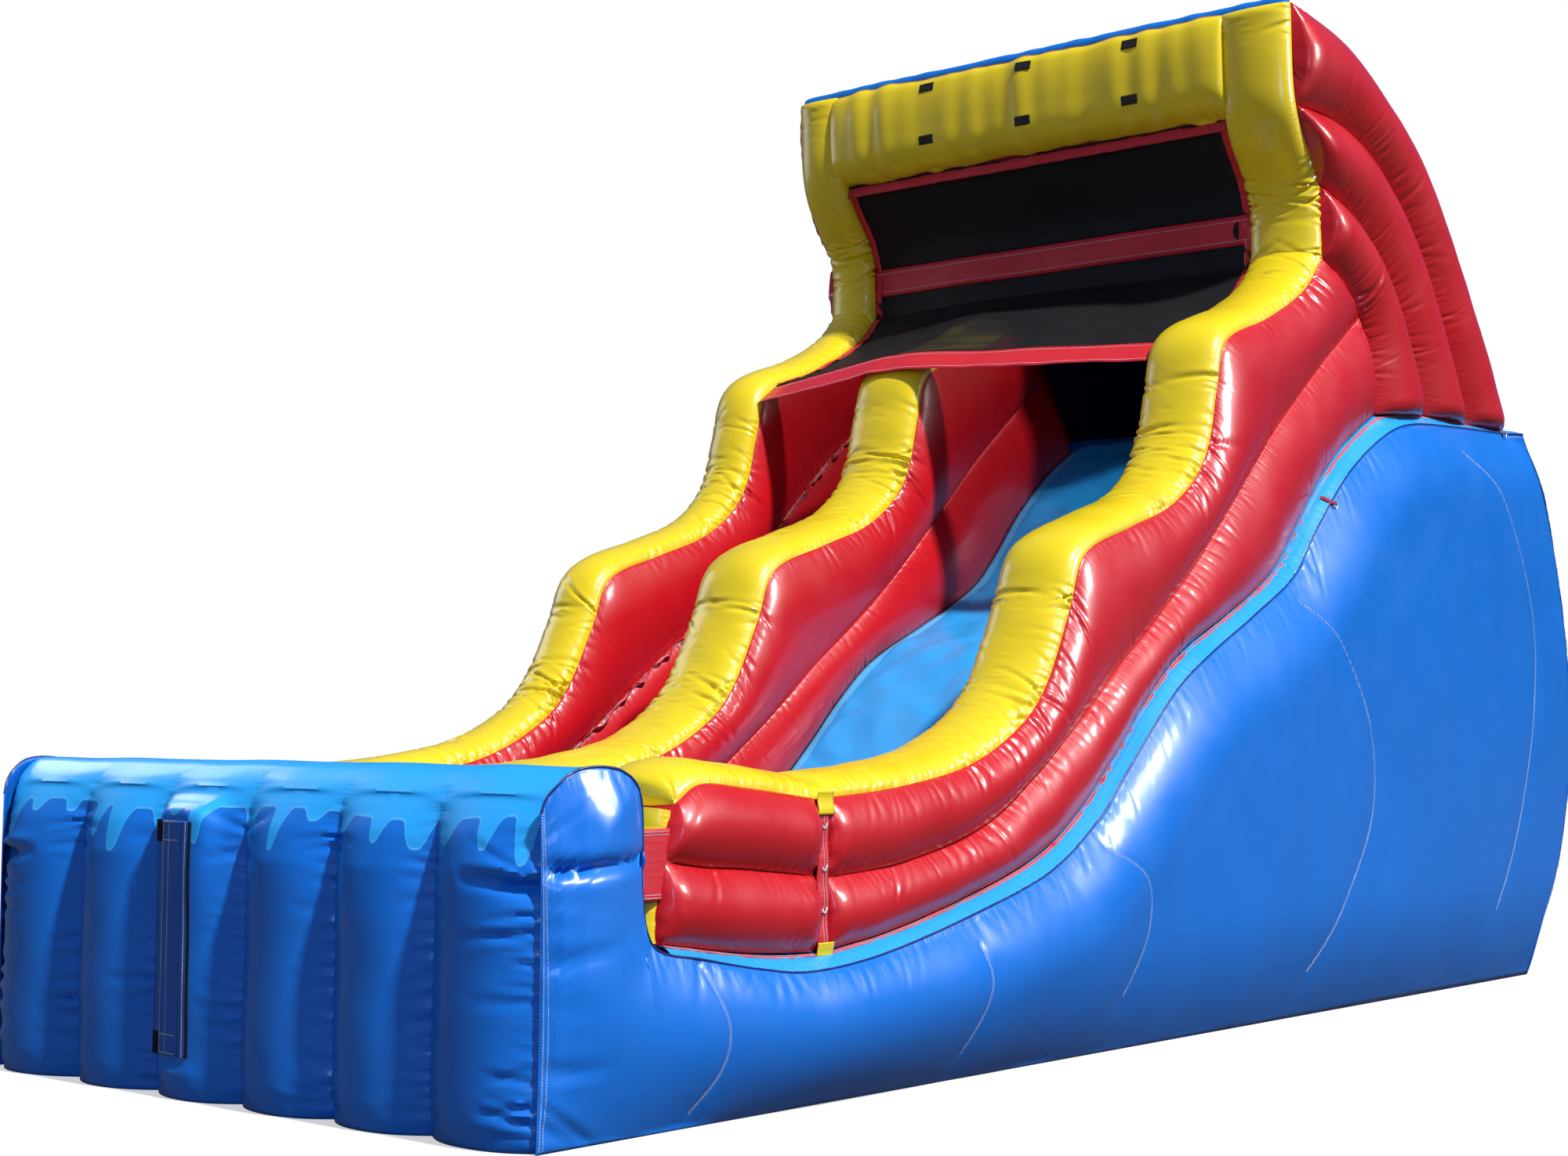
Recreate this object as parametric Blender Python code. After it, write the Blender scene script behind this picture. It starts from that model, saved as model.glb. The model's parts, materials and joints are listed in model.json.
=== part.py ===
"""Inflatable water slide: a splash landing behind a stop bumper, a two-wave slide lane and a climbing
lane between three padded walls, and a tower whose front is closed by a net. Metres, +Z up, +X to the
right of someone who faces the slide, +Y towards the tower. The origin lies on the ground, at the middle
of the footprint. An air chamber is drawn as a solid tube or as a closed skin, and sewn neighbours keep
a small gap.
"""

import math

import bmesh
import bpy
import numpy as np
from mathutils import Matrix

for old in list(bpy.data.objects):
    bpy.data.objects.remove(old, do_unlink=True)

# Overall sizes: the footprint on the ground and the header's top seam
length = 8.6
height = 5.5
half_width = 1.72
centre_share = 0.5

# The gap between sewn neighbours, the vinyl skins, and the room beside a swollen corner
seam_gap = 0.0003
skin = 0.012
body_margin = 0.008
corner_room = 0.004
base_inset = 0.024
landing_inset = 0.024

# Walls and lanes, from the outer seams inwards, and how far a tube swells past its seams
wall_overhang = 0.01
wall_outer = half_width + wall_overhang
right_wall_width = 0.43
left_wall_width = 0.33
mid_wall_width = 0.45
climb_lane_width = 0.755
wall_swell = 0.04
cap_crown = 0.10

# The wave of a wall: (y, z) of its cap seam, bolster seam and bed, as shares of length and height
wave_shares = (
    (0.186, 0.224, 0.186, 0.165, 0.186, 0.111),
    (0.244, 0.231, 0.247, 0.173, 0.250, 0.125),
    (0.303, 0.247, 0.314, 0.197, 0.331, 0.155),
    (0.348, 0.278, 0.360, 0.236, 0.378, 0.182),
    (0.374, 0.315, 0.393, 0.270, 0.413, 0.218),
    (0.396, 0.378, 0.421, 0.302, 0.444, 0.260),
    (0.412, 0.427, 0.448, 0.335, 0.471, 0.300),
    (0.459, 0.455, 0.488, 0.379, 0.506, 0.342),
    (0.501, 0.478, 0.523, 0.420, 0.559, 0.380),
    (0.531, 0.509, 0.549, 0.455, 0.593, 0.404),
    (0.547, 0.545, 0.576, 0.493, 0.622, 0.430),
    (0.556, 0.595, 0.599, 0.527, 0.645, 0.464),
    (0.569, 0.644, 0.628, 0.569, 0.669, 0.505),
    (0.620, 0.676, 0.669, 0.620, 0.703, 0.551),
    (0.666, 0.713, 0.703, 0.660, 0.738, 0.585),
    (0.691, 0.751, 0.742, 0.702, 0.763, 0.605),
)
crest_row = 12
mid_wall_end_row = 14

# The bolster beside the splash landing, in the same shares, from its front to its laced joint
pool_shares = (
    (0.081, 0.223, 0.074, 0.184, 0.070, 0.127),
    (0.098, 0.236, 0.100, 0.178, 0.103, 0.120),
    (0.128, 0.233, 0.128, 0.175, 0.134, 0.115),
    (0.177, 0.224, 0.177, 0.167, 0.177, 0.111),
)
lacing_inset = 0.04
flap_inset = 0.08
flap_edge_shares = (0.25, 0.75)

# The tower's side columns: their seams from the innermost arc to the outermost, front to foot
inner_arc_shares = (
    (0.688, 0.825), (0.719, 0.811), (0.747, 0.789), (0.772, 0.758), (0.795, 0.716), (0.815, 0.669),
    (0.834, 0.615),
)
middle_arc_shares = (
    (0.658, 0.898), (0.707, 0.897), (0.751, 0.878), (0.791, 0.840), (0.829, 0.782), (0.864, 0.705),
    (0.901, 0.615),
)
outer_arc_shares = (
    (0.652, 1.000), (0.715, 0.985), (0.772, 0.945), (0.826, 0.891), (0.872, 0.815), (0.919, 0.724),
    (0.965, 0.618),
)

# Stop bumper: upright columns, a rounded top, and a back that comes down to the landing
bumper_height = 1.37
bumper_depth = 0.46
bumper_columns = 6
bumper_swell = 0.07
bumper_shares = (
    (0.00, 0.00), (0.00, 0.09), (0.00, 0.85), (0.06, 0.93), (0.25, 0.985), (0.50, 1.00),
    (0.78, 0.985), (0.96, 0.93), (1.00, 0.85), (1.00, 0.66),
)
bumper_swell_shares = (0.5, 1.0, 1.0, 0.9, 0.5, 0.25, 0.1, 0.0, 0.0, 0.0, 0.0)
bumper_foot_share = 1.06

# Side panels: the front end follows the bumper, and the rest is in shares of length and height
panel_swell = 0.10
panel_lean = 0.11
panel_front_shares = (
    (0.00, 0.88), (0.06, 0.93), (0.25, 0.985), (0.50, 1.00), (0.78, 0.985), (0.96, 0.93), (1.01, 0.80),
    (1.06, 0.62), (1.24, 0.50),
)
panel_top_shares = (
    (0.091, 0.116), (0.130, 0.105), (0.164, 0.100), (0.216, 0.107), (0.287, 0.129), (0.357, 0.158),
    (0.403, 0.197), (0.435, 0.240), (0.485, 0.308), (0.526, 0.345), (0.576, 0.382), (0.626, 0.423),
    (0.657, 0.472), (0.700, 0.532), (0.747, 0.575), (0.791, 0.597), (0.865, 0.606), (0.965, 0.613),
)
panel_row_shares = (0.0, 0.11, 0.25, 0.42, 0.60, 0.78, 0.92, 1.0)
panel_fade_shares = ((0.0, 0.35), (0.06, 0.45), (0.16, 1.0), (0.80, 1.0), (0.965, 0.8))

# Rear panel: its lean and swell by row, its upright columns, and where the side panels start to follow it
rear_swell = 0.42
rear_lean_shares = (0.0, 0.0, 0.15, 0.33, 0.52, 0.72, 0.90, 1.0)
rear_swell_shares = (0.0, 0.0, 0.60, 0.97, 0.95, 0.62, 0.24, 0.0)
rear_columns = 6
rear_column_swell = 0.05
rear_follow_share = 0.70

# Trim strips on the side panels' upper edges
trim_skin = 0.006
trim_overhang = 0.006

# Header beam between the posts, with its six hook-and-loop patches
header_depth = 0.42
header_shares = (
    (0.30, 0.00), (0.06, 0.16), (0.00, 0.42), (0.04, 0.76), (0.24, 0.97), (0.52, 1.00), (0.80, 0.95),
    (0.97, 0.76), (1.00, 0.42), (0.92, 0.14), (0.66, 0.00),
)
patch_width = 0.105
patch_height = 0.055
patch_skin = 0.004
patch_rows = (("upper", 3), ("lower", 1))
patch_place_shares = (("left", 0.265), ("centre", 0.53), ("right", 0.80))

# Roof between the columns, and the net over the upper lane with its band and front hem
roof_crown = 0.20
roof_start_share = 0.87
roof_rise_shares = ((0.0, 0.0), (0.03, 0.6), (0.08, 0.95), (0.16, 1.0), (1.0, 0.25))
net_skin = 0.006
net_set = 0.004
net_lift = 0.0006
net_margin = 0.002
net_band_shares = (0.35, 0.75)
drape_shares = (0.05, 0.92, 1.0, 0.92, 0.55, 0.05)
hem_drop = 0.13
hem_lean = math.radians(42)

# Slide liner, and the inflated steps of the climbing lane
liner_skin = 0.004
liner_edge = 0.006
liner_start_share = 0.05
liner_end_share = 0.97
step_count = 5
step_depth = 0.26
step_rise = 0.16
step_edge = 0.005
step_shoulder = 0.05
step_shoulder_share = 0.6

# Deflation port in the bumper's third column: a tape, its slider and the flap over them
port_column_number = 2
tape_foot = 0.18
tape_height = 0.94
tape_width = 0.05
tape_skin = 0.002
slider_width = 0.016
slider_height = 0.030
slider_depth = 0.005
flap_width = 0.12
flap_skin = 0.003
flap_standoff = 0.012
flap_root = 0.006

# Tether straps on the upper edges of the side panels, each with a D-ring that swings in its loop
strap_places_share = (("front", 0.677), ("rear", 0.945))
strap_width = 0.025
strap_skin = 0.0025
strap_start_share = 0.65
strap_lift = 0.008
strap_reach = 0.016
strap_loop = math.radians(300)
ring_wire = 0.003
ring_play = 0.0006
ring_width = 0.040
ring_drop = 0.034
ring_corner = 0.004

# Air tube at the rear, and a baffle with its vent that holds the base chamber flat
tube_radius = 0.15
tube_length = 0.60
tube_side_share = -0.64
baffle_share = 0.530
baffle_gap = 0.0008
vent_radius = 0.15

# Drawing counts
wave_steps = 2
side_steps = 4
crown_steps = 6
column_steps = 4
round_steps = 16
step_arc_steps = 6
loop_steps = 10
ring_steps = 6
sharp_angle = math.radians(35)

# Colours
yellow = (0.90, 0.74, 0.03)
red = (0.62, 0.02, 0.03)
blue = (0.03, 0.18, 0.66)
light_blue = (0.04, 0.42, 0.85)
mesh_black = (0.02, 0.02, 0.02)
hem_red = (0.60, 0.06, 0.08)
steel = (0.30, 0.31, 0.33)


# Curves in the side view, as arrays of (y, z) points
def in_metres(shares):
    """Points from shares of length and height, with y counted from the middle."""
    points = np.array(shares, float).reshape(-1, 2)
    return np.column_stack([(points[:, 0] - centre_share) * length, points[:, 1] * height])


def smooth(points, steps):
    """A Catmull-Rom curve through the points, with this many steps between each two."""
    points = np.asarray(points, float)
    padded = np.vstack([2 * points[0] - points[1], points, 2 * points[-1] - points[-2]])
    out = []
    for i in range(1, len(padded) - 2):
        a, b, c, d = padded[i - 1 : i + 3]
        for t in np.arange(steps) / steps:
            bend = (2 * a - 5 * b + 4 * c - d) * t**2 + (3 * b - a - 3 * c + d) * t**3
            out.append(b + ((c - a) * t + bend) / 2)
    return np.array(out + [points[-1]])


def divided(points, steps):
    """The same straight runs, each cut into this many steps."""
    points = np.asarray(points, float)
    out = [a + (b - a) * k / steps for a, b in zip(points, points[1:]) for k in range(steps)]
    return np.array(out + [points[-1]])


def normals(points):
    """Unit vectors square to a curve, on its left: up where it runs to +Y, forward where it climbs."""
    along = np.gradient(points, axis=0)
    along /= np.linalg.norm(along, axis=1)[:, None]
    return np.column_stack([-along[:, 1], along[:, 0]])


def distances(points):
    return np.concatenate([[0], np.cumsum(np.linalg.norm(np.diff(points, axis=0), axis=1))])


def stretch(values, run, start, end):
    """Rows of a table along a curve between two distances, with every vertex that lies between."""
    inner = values[(run > start) & (run < end)]
    ends = [[np.interp(at, run, column) for column in values.T] for at in (start, end)]
    return np.vstack([ends[0], inner, ends[1]])


def height_at(points, y):
    return np.interp(y, points[:, 0], points[:, 1])


def with_x(x, points):
    """(x, y, z) points from (y, z) points at one x."""
    return np.column_stack([np.full(len(points), x), points])


# Solids
def finish(name, colour, roughness, metallic):
    made = bpy.data.materials.new(name + "_finish")
    made.use_nodes = True
    shader = made.node_tree.nodes["Principled BSDF"]
    shader.inputs["Base Color"].default_value = (*colour, 1)
    shader.inputs["Roughness"].default_value = roughness
    shader.inputs["Metallic"].default_value = metallic
    return made


def make(name, points, faces, colour, roughness=0.3, metallic=0.0, pivot=None):
    """An object from world points, with its origin at its middle or on its pivot."""
    points = np.asarray(points, float)
    origin = (points.min(axis=0) + points.max(axis=0)) / 2 if pivot is None else np.asarray(pivot, float)
    mesh = bpy.data.meshes.new(name)
    mesh.from_pydata((points - origin).tolist(), [], faces)
    mesh.calc_loop_triangles()
    corners = np.array([[mesh.vertices[i].co[:] for i in triangle.vertices] for triangle in mesh.loop_triangles])
    if np.linalg.det(corners).sum() < 0:
        mesh.flip_normals()
    mesh.shade_smooth()
    mesh.set_sharp_from_angle(angle=sharp_angle)
    mesh.materials.append(finish(name, colour, roughness, metallic))
    made = bpy.data.objects.new(name, mesh)
    made.location = origin
    bpy.context.scene.collection.objects.link(made)
    return made


def loft(name, rings, colour, **look):
    """A closed tube through rings of points, with a flat face at each end."""
    count = len(rings[0])
    last = (len(rings) - 1) * count
    faces = []
    for i in range(len(rings) - 1):
        for k in range(count):
            a, b = i * count + k, i * count + (k + 1) % count
            faces.append((a, b, b + count, a + count))
    faces.append(tuple(reversed(range(count))))
    faces.append(tuple(range(last, last + count)))
    return make(name, np.vstack(rings), faces, colour, **look)


def sheet(name, outer, inner, colour, **look):
    """A closed skin between two grids of points with the same rows and columns. Both sides are cut along the
    same diagonals, so that the skin keeps its thickness where a square is twisted."""
    outer, inner = np.asarray(outer, float), np.asarray(inner, float)
    rows, columns = outer.shape[:2]
    total = rows * columns
    at = np.arange(total).reshape(rows, columns).tolist()
    faces = []
    for i in range(rows - 1):
        for k in range(columns - 1):
            a, b, c, d = at[i][k], at[i][k + 1], at[i + 1][k + 1], at[i + 1][k]
            for triangle in ((a, b, c), (a, c, d)):
                faces.append(triangle)
                faces.append(tuple(v + total for v in reversed(triangle)))
    rim = at[0] + [row[-1] for row in at[1:]] + at[-1][-2::-1] + [row[0] for row in at[-2:0:-1]]
    for a, b in zip(rim, rim[1:] + rim[:1]):
        faces.append((b, a, a + total, b + total))
    return make(name, np.vstack([outer.reshape(-1, 3), inner.reshape(-1, 3)]), faces, colour, **look)


def block(name, centre, size, colour, turn=None, **look):
    """A box of this size, turned about its centre."""
    corners = np.array([(x, y, z) for x in (-1, 1) for y in (-1, 1) for z in (-1, 1)]) * np.array(size) / 2
    if turn is not None:
        corners = corners @ np.array(turn.to_3x3()).T
    faces = [(0, 1, 3, 2), (4, 6, 7, 5), (0, 4, 5, 1), (2, 3, 7, 6), (0, 2, 6, 4), (1, 5, 7, 3)]
    return make(name, corners + np.array(centre), faces, colour, **look)


def bolster(name, low, high, left, right, colour, swells=(wall_swell, wall_swell), stands=False):
    """A tube between a lower seam and an upper one, whose sides swell. One that stands ends clear of its floor."""
    rise = np.linspace(0, 1, side_steps + 1)
    swell = np.sin(math.pi * rise)
    rings = []
    for base, top in zip(low, high):
        away = (top - base) / np.linalg.norm(top - base)
        side = base + away * seam_gap + (top - base - away * seam_gap) * rise[:, None]
        up = np.column_stack([right + swells[1] * swell, side])
        down = np.column_stack([left - swells[0] * swell, side])
        rings.append(np.vstack([up, down[::-1]]))
    if stands:
        rings[-1] = rings[-1] + [0, 0, seam_gap]
    return loft(name, rings, colour)


def cap(name, line, outward, left, right, colour):
    """A half-round tube on a seam line, crowned away from the wall."""
    turn = np.linspace(0, math.pi, crown_steps + 1)
    across = (left + right) / 2 + (right - left) / 2 * np.cos(turn)
    rise = seam_gap + cap_crown * np.sin(turn)
    rings = [np.column_stack([across, point + away * rise[:, None]]) for point, away in zip(line, outward)]
    return loft(name, rings, colour)


# Seam lines that the pieces share
wave = np.array(wave_shares)
cap_line = smooth(in_metres(wave[:, 0:2]), wave_steps)
seam_line = smooth(in_metres(wave[:, 2:4]), wave_steps)
bed_line = smooth(in_metres(wave[:, 4:6]), wave_steps)
pool = np.array(pool_shares)
pool_cap_line = smooth(in_metres(pool[:, 0:2]), wave_steps)
pool_seam_line = smooth(in_metres(pool[:, 2:4]), wave_steps)
pool_bed_line = smooth(in_metres(pool[:, 4:6]), wave_steps)
wall_end = np.array([cap_line[-1], seam_line[-1], bed_line[-1]])
arcs = [
    divided(wall_end, 3 * wave_steps),
    smooth(in_metres(inner_arc_shares), wave_steps),
    smooth(in_metres(middle_arc_shares), wave_steps),
    smooth(in_metres(outer_arc_shares), wave_steps),
]
post_line = np.vstack([cap_line[:-1], divided([arc[0] for arc in arcs], wave_steps)])
post_outward = normals(post_line)
deck_line = np.vstack([bed_line, [arc[-1] for arc in arcs[1:]]])

# Places along and across the slide
front = -length / 2
rear = length / 2
body_half = half_width - skin - body_margin
right_inner = wall_outer - right_wall_width
left_inner = -wall_outer + left_wall_width
mid_left = left_inner + climb_lane_width
mid_right = mid_left + mid_wall_width
deck_end = deck_line[-1]

# The side panels' surface: its upper edge, and its half-width by row
panel_front = np.array(panel_front_shares) * [bumper_depth, bumper_height] + [front, 0]
panel_top = np.vstack([panel_front, in_metres(panel_top_shares)])
panel_fade = in_metres(panel_fade_shares)[:, 0], np.array(panel_fade_shares)[:, 1]
rear_row_y = rear + (deck_end[0] + skin + seam_gap - rear) * np.array(rear_lean_shares)
rear_row_y += rear_swell * np.array(rear_swell_shares)


def panel_half(y, row):
    """The panel's outer half-width at a row, which is 0 on the ground and 1 on the upper edge."""
    fade = np.interp(y, *panel_fade)
    return half_width + fade * (panel_lean * row + panel_swell * np.sin(math.pi * row))


def mirrored(points, side):
    return np.asarray(points) * [side, 1, 1]


rows = np.array(panel_row_shares)
panel_grid = []
for y, top in panel_top:
    follow = max(0, (y - front) / length - rear_follow_share) / (panel_top[-1][0] - front) * length
    follow /= 1 - rear_follow_share * length / (panel_top[-1][0] - front)
    away = follow**2 * (rear_row_y - rear_row_y[-1])
    panel_grid.append(np.column_stack([panel_half(y, rows), y + away, rows * top]))
panel_grid = np.array(panel_grid)
for name, side in (("left", -1), ("right", 1)):
    sheet(name + "_side_panel", mirrored(panel_grid, side), mirrored(panel_grid - [skin, 0, 0], side), blue)

# Trim strips, from the bed's edge out over the side panels' upper edge
trim_start = pool_bed_line[0][0]
edge_line = np.vstack([pool_bed_line, deck_line])
trim_y = np.unique(np.concatenate([edge_line[:, 0], panel_top[:, 0]]))
trim_y = trim_y[(trim_y >= trim_start) & (trim_y <= panel_top[-1][0])]
trim_inner = np.column_stack([np.full(len(trim_y), body_half + seam_gap), trim_y, height_at(edge_line, trim_y)])
trim_seat = np.column_stack([
    np.interp(trim_y, panel_top[:, 0], panel_half(panel_top[:, 0], 1)),
    trim_y,
    height_at(panel_top, trim_y) + seam_gap + trim_skin,
])
trim_outer = trim_seat + [trim_overhang, 0, 0]
trim_grid = np.stack([trim_inner, trim_seat, trim_outer], axis=1)
for name, side in (("left", -1), ("right", 1)):
    under = mirrored(trim_grid - [0, 0, trim_skin], side)
    sheet(name + "_trim_strip", mirrored(trim_grid, side), under, light_blue)

# Base sheet, the flat floor of the base chamber
block("base_sheet", (0, 0, skin / 2), (2 * body_half, length - 2 * base_inset, skin), blue)

# Rear panel, with its upright columns
rear_across = np.linspace(-1, 1, rear_columns * column_steps // 2 + 1)
rear_column = np.abs(np.sin(math.pi * np.arange(len(rear_across)) / column_steps * 2))
rear_half = panel_half(panel_top[-1][0], rows)
rear_swell_depth = rear_column_swell * np.array(rear_swell_shares)
rear_grid = np.array([
    np.column_stack([share * rear_half, rear_row_y + amount * rear_swell_depth, rows * panel_top[-1][1]])
    for share, amount in zip(rear_across, rear_column)
])
sheet("rear_panel", rear_grid, rear_grid - [0, skin, 0], blue)

# Stop bumper: a profile swept across six columns, flared at both ends to meet the side panels
landing_height = pool_bed_line[0][1]
outline = np.array(bumper_shares) * [bumper_depth, bumper_height]
outline = np.vstack([outline, [bumper_foot_share * bumper_depth, landing_height + seam_gap]]) + [front, 0]
facing = normals(outline)
facing[0], facing[-1] = (-1, 0), (1, 0)
across = np.linspace(-body_half, body_half, bumper_columns * column_steps + 1)
column = np.abs(np.sin(math.pi * np.arange(len(across)) / column_steps))
swell_depth = bumper_swell * np.array(bumper_swell_shares)
reach = body_half * (1 - 2 / bumper_columns)
outline_rows = outline[:, 1] / height_at(panel_top, outline[:, 0])
flare = panel_half(outline[:, 0], np.clip(outline_rows, 0, 1)) - skin - corner_room - body_half
bumper_grid, bumper_back_grid = [], []
for x, amount in zip(across, column):
    end_share = np.sign(x) * max(0, abs(x) - reach) / (body_half - reach)
    line = outline + facing * (amount * swell_depth)[:, None]
    x_line = x + end_share * flare
    bumper_grid.append(np.column_stack([x_line, line]))
    bumper_back_grid.append(np.column_stack([x_line, line - facing * skin]))
sheet("front_bumper", bumper_grid, bumper_back_grid, blue)


# Beds: the splash landing, and the slope that runs up to the platform
def bed(name, line, colour):
    """A skin that is level from side to side, as thick as the skin where measured straight down."""
    top = [with_x(x, line) for x in (-body_half, body_half)]
    under = [with_x(x, line - [0, skin]) for x in (-body_half, body_half)]
    return sheet(name, top, under, colour)


landing_front = [outline[-1][0] - landing_inset, landing_height]
landing_rear = [bed_line[0][0] - seam_gap, bed_line[0][1]]
bed("landing_bed", np.vstack([landing_front, pool_bed_line, landing_rear]), blue)
bed("slide_bed", deck_line, blue)

# Baffle under the slope, with a vent cut through it
baffle_y = (baffle_share - centre_share) * length
baffle_grids = []
for y in (baffle_y, baffle_y + skin):
    top = height_at(deck_line, y) - skin - baffle_gap
    baffle_grids.append([[(x, y, z) for z in (skin + seam_gap, top)] for x in (-body_half, body_half)])
baffle = sheet("inner_baffle", *baffle_grids, blue)
vent_mesh = bpy.data.meshes.new("vent_cutter")
vent_form = bmesh.new()
bmesh.ops.create_cone(
    vent_form, cap_ends=True, segments=round_steps, radius1=vent_radius, radius2=vent_radius, depth=4 * skin
)
vent_form.to_mesh(vent_mesh)
vent_form.free()
vent = bpy.data.objects.new("vent_cutter", vent_mesh)
vent.location = (0, baffle_y + skin / 2, height_at(deck_line, baffle_y) / 2)
vent.rotation_euler = (math.radians(90), 0, 0)
vent.hide_render = True
vent.display_type = "WIRE"
bpy.context.scene.collection.objects.link(vent)
cut = baffle.modifiers.new("vent", "BOOLEAN")
cut.object = vent
cut.operation = "DIFFERENCE"

# Walls: a lower bolster, an upper bolster and a cap each. The outer caps run on up the posts
mid_end = mid_wall_end_row * wave_steps + 1
walls = (
    ("left", -wall_outer, left_inner, len(cap_line), len(post_line)),
    ("mid", mid_left, mid_right, mid_end, mid_end),
    ("right", right_inner, wall_outer, len(cap_line), len(post_line)),
)
for name, left, right, wall_stop, cap_stop in walls:
    bolster(name + "_lower_bolster", bed_line[:wall_stop], seam_line[:wall_stop], left, right, red)
    bolster(name + "_upper_bolster", seam_line[:wall_stop], cap_line[:wall_stop], left, right, red)
    cap(name + "_wall_cap", post_line[:cap_stop], post_outward[:cap_stop], left, right, yellow)

# Bolsters beside the landing, and the strip that laces them to the right wall
bolster("pool_lower_bolster", pool_bed_line, pool_seam_line, right_inner, wall_outer, red)
bolster("pool_upper_bolster", pool_seam_line, pool_cap_line, right_inner, wall_outer, red)
cap("pool_cap", pool_cap_line, normals(pool_cap_line), right_inner, wall_outer, yellow)
lacing_low = np.array([right_inner + lacing_inset, pool_bed_line[-1][0] + seam_gap, bed_line[0][1] + seam_gap])
lacing_high = np.array([wall_outer - lacing_inset, cap_line[0][0] - seam_gap, cap_line[0][1]])
block("lacing_strip", (lacing_low + lacing_high) / 2, lacing_high - lacing_low, hem_red)

# Joining flap between the bumper's back and the landing's bolster
bumper_rear = outline[-3:][::-1]
pool_front = np.array([pool_bed_line[0], pool_seam_line[0], pool_cap_line[0]])
flap_foot, flap_top = np.interp(flap_edge_shares, (0, 1), (landing_height, pool_front[-1][1]))
corners = np.concatenate([bumper_rear[:, 1], pool_front[:, 1]])
flap_heights = np.unique([flap_foot, *corners[(corners > flap_foot) & (corners < flap_top)], flap_top])
flap_side = []
for z in flap_heights:
    near = np.interp(z, bumper_rear[:, 1], bumper_rear[:, 0]) + seam_gap
    far = np.interp(z, pool_front[:, 1], pool_front[:, 0]) - seam_gap
    flap_side.append([(wall_outer - flap_inset, y, z) for y in (near, far)])
flap_side = np.array(flap_side)
sheet("joining_flap", flap_side, flap_side - [trim_skin, 0, 0], hem_red)

# Tower: three columns on each side, from the outermost inwards
for name, left, right, swells in (
    ("left", -wall_outer, left_inner, (wall_swell, 0)),
    ("right", right_inner, wall_outer, (0, wall_swell)),
):
    for number, (low, high) in enumerate(zip(arcs, arcs[1:])):
        bolster(f"{name}_tower_column_{3 - number}", low, high, left, right, red, swells, stands=True)

# Header beam
header_low = arcs[2][0][1]
header_rise = height - header_low
header_front = arcs[3][0][0] - cap_crown
header_outline = np.array(header_shares) * [header_depth, header_rise] + [header_front, header_low]
header_ends = (left_inner + seam_gap, right_inner - seam_gap)
loft("header_beam", [with_x(x, header_outline) for x in header_ends], yellow)

# Hook-and-loop patches on two flats of the header
for row, edge in patch_rows:
    lower, upper = header_outline[edge], header_outline[edge + 1]
    along = (upper - lower) / np.linalg.norm(upper - lower)
    away = np.array([-along[1], along[0]])
    y, z = (lower + upper) / 2 + away * (seam_gap + patch_skin / 2)
    turn = Matrix.Rotation(math.atan2(along[1], along[0]) - math.pi / 2, 4, "X")
    for place, share in patch_place_shares:
        x = header_ends[0] + share * (header_ends[1] - header_ends[0])
        block(f"header_patch_{row}_{place}", (x, y, z), (patch_width, patch_skin, patch_height), mesh_black, turn)

# Roof between the outermost columns
roof_line = arcs[3]
roof_run = distances(roof_line)
roof_start = np.interp(header_front + roof_start_share * header_depth, roof_line[:, 0], roof_run)
roof_span = roof_run[-1] - skin - roof_start
roof_knots = np.array(roof_rise_shares)
roof_at = np.unique(np.concatenate([roof_run[(roof_run > roof_start) & (roof_run < roof_run[-1] - skin)],
                                    roof_start + roof_span * roof_knots[:, 0]]))
roof_table = np.column_stack([roof_line, normals(roof_line)])
roof_table = np.column_stack([np.interp(roof_at, roof_run, column) for column in roof_table.T])
roof_rise = np.interp((roof_at - roof_start) / roof_span, *roof_knots.T)
roof_across = np.linspace(0, 1, column_steps * 2 + 1)
roof_outer, roof_inner = [], []
for share in roof_across:
    x = header_ends[0] + share * (header_ends[1] - header_ends[0])
    rise = roof_crown * math.sin(math.pi * share) * roof_rise
    roof_outer.append(with_x(x, roof_table[:, :2] + roof_table[:, 2:4] * rise[:, None]))
    roof_inner.append(with_x(x, roof_table[:, :2] + roof_table[:, 2:4] * (rise - skin)[:, None]))
sheet("roof_panel", roof_outer, roof_inner, blue)

# Net: it hangs from the header between the posts, then lies over the lanes and the middle wall
net_across = (
    left_inner + seam_gap,
    mid_left,
    (mid_left + mid_right) / 2,
    mid_right,
    (mid_right + right_inner) / 2,
    right_inner - seam_gap,
)
post_run = distances(post_line)
crest_run = post_run[crest_row * wave_steps]
mid_wall_run = post_run[mid_wall_end_row * wave_steps]
pocket_run = post_run[len(cap_line) - 1]
second_run = post_run[len(cap_line) - 1 + wave_steps]
top_run = post_run[len(cap_line) - 1 + 2 * wave_steps]
band_runs = [pocket_run + share * (second_run - pocket_run) for share in net_band_shares]
net_table = np.column_stack([post_line, post_outward, post_run])


def net_piece(name, start, end, colour):
    table = stretch(net_table, post_run, start, end)
    lie = np.clip((band_runs[0] - table[:, 4]) / (band_runs[0] - mid_wall_run), 0, 1)
    outer, inner = [], []
    for x, share in zip(net_across, drape_shares):
        rise = net_lift + np.maximum(net_set * (1 - lie), cap_crown * share * lie)
        inner.append(with_x(x, table[:, :2] + table[:, 2:4] * rise[:, None]))
        outer.append(with_x(x, table[:, :2] + table[:, 2:4] * (rise + net_skin)[:, None]))
    return sheet(name, outer, inner, colour, roughness=0.7)


net_piece("lower_net", crest_run, band_runs[0] - seam_gap, mesh_black)
net_piece("net_band", band_runs[0], band_runs[1], hem_red)
net_piece("upper_net", band_runs[1] + seam_gap, top_run - net_margin, mesh_black)

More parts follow.
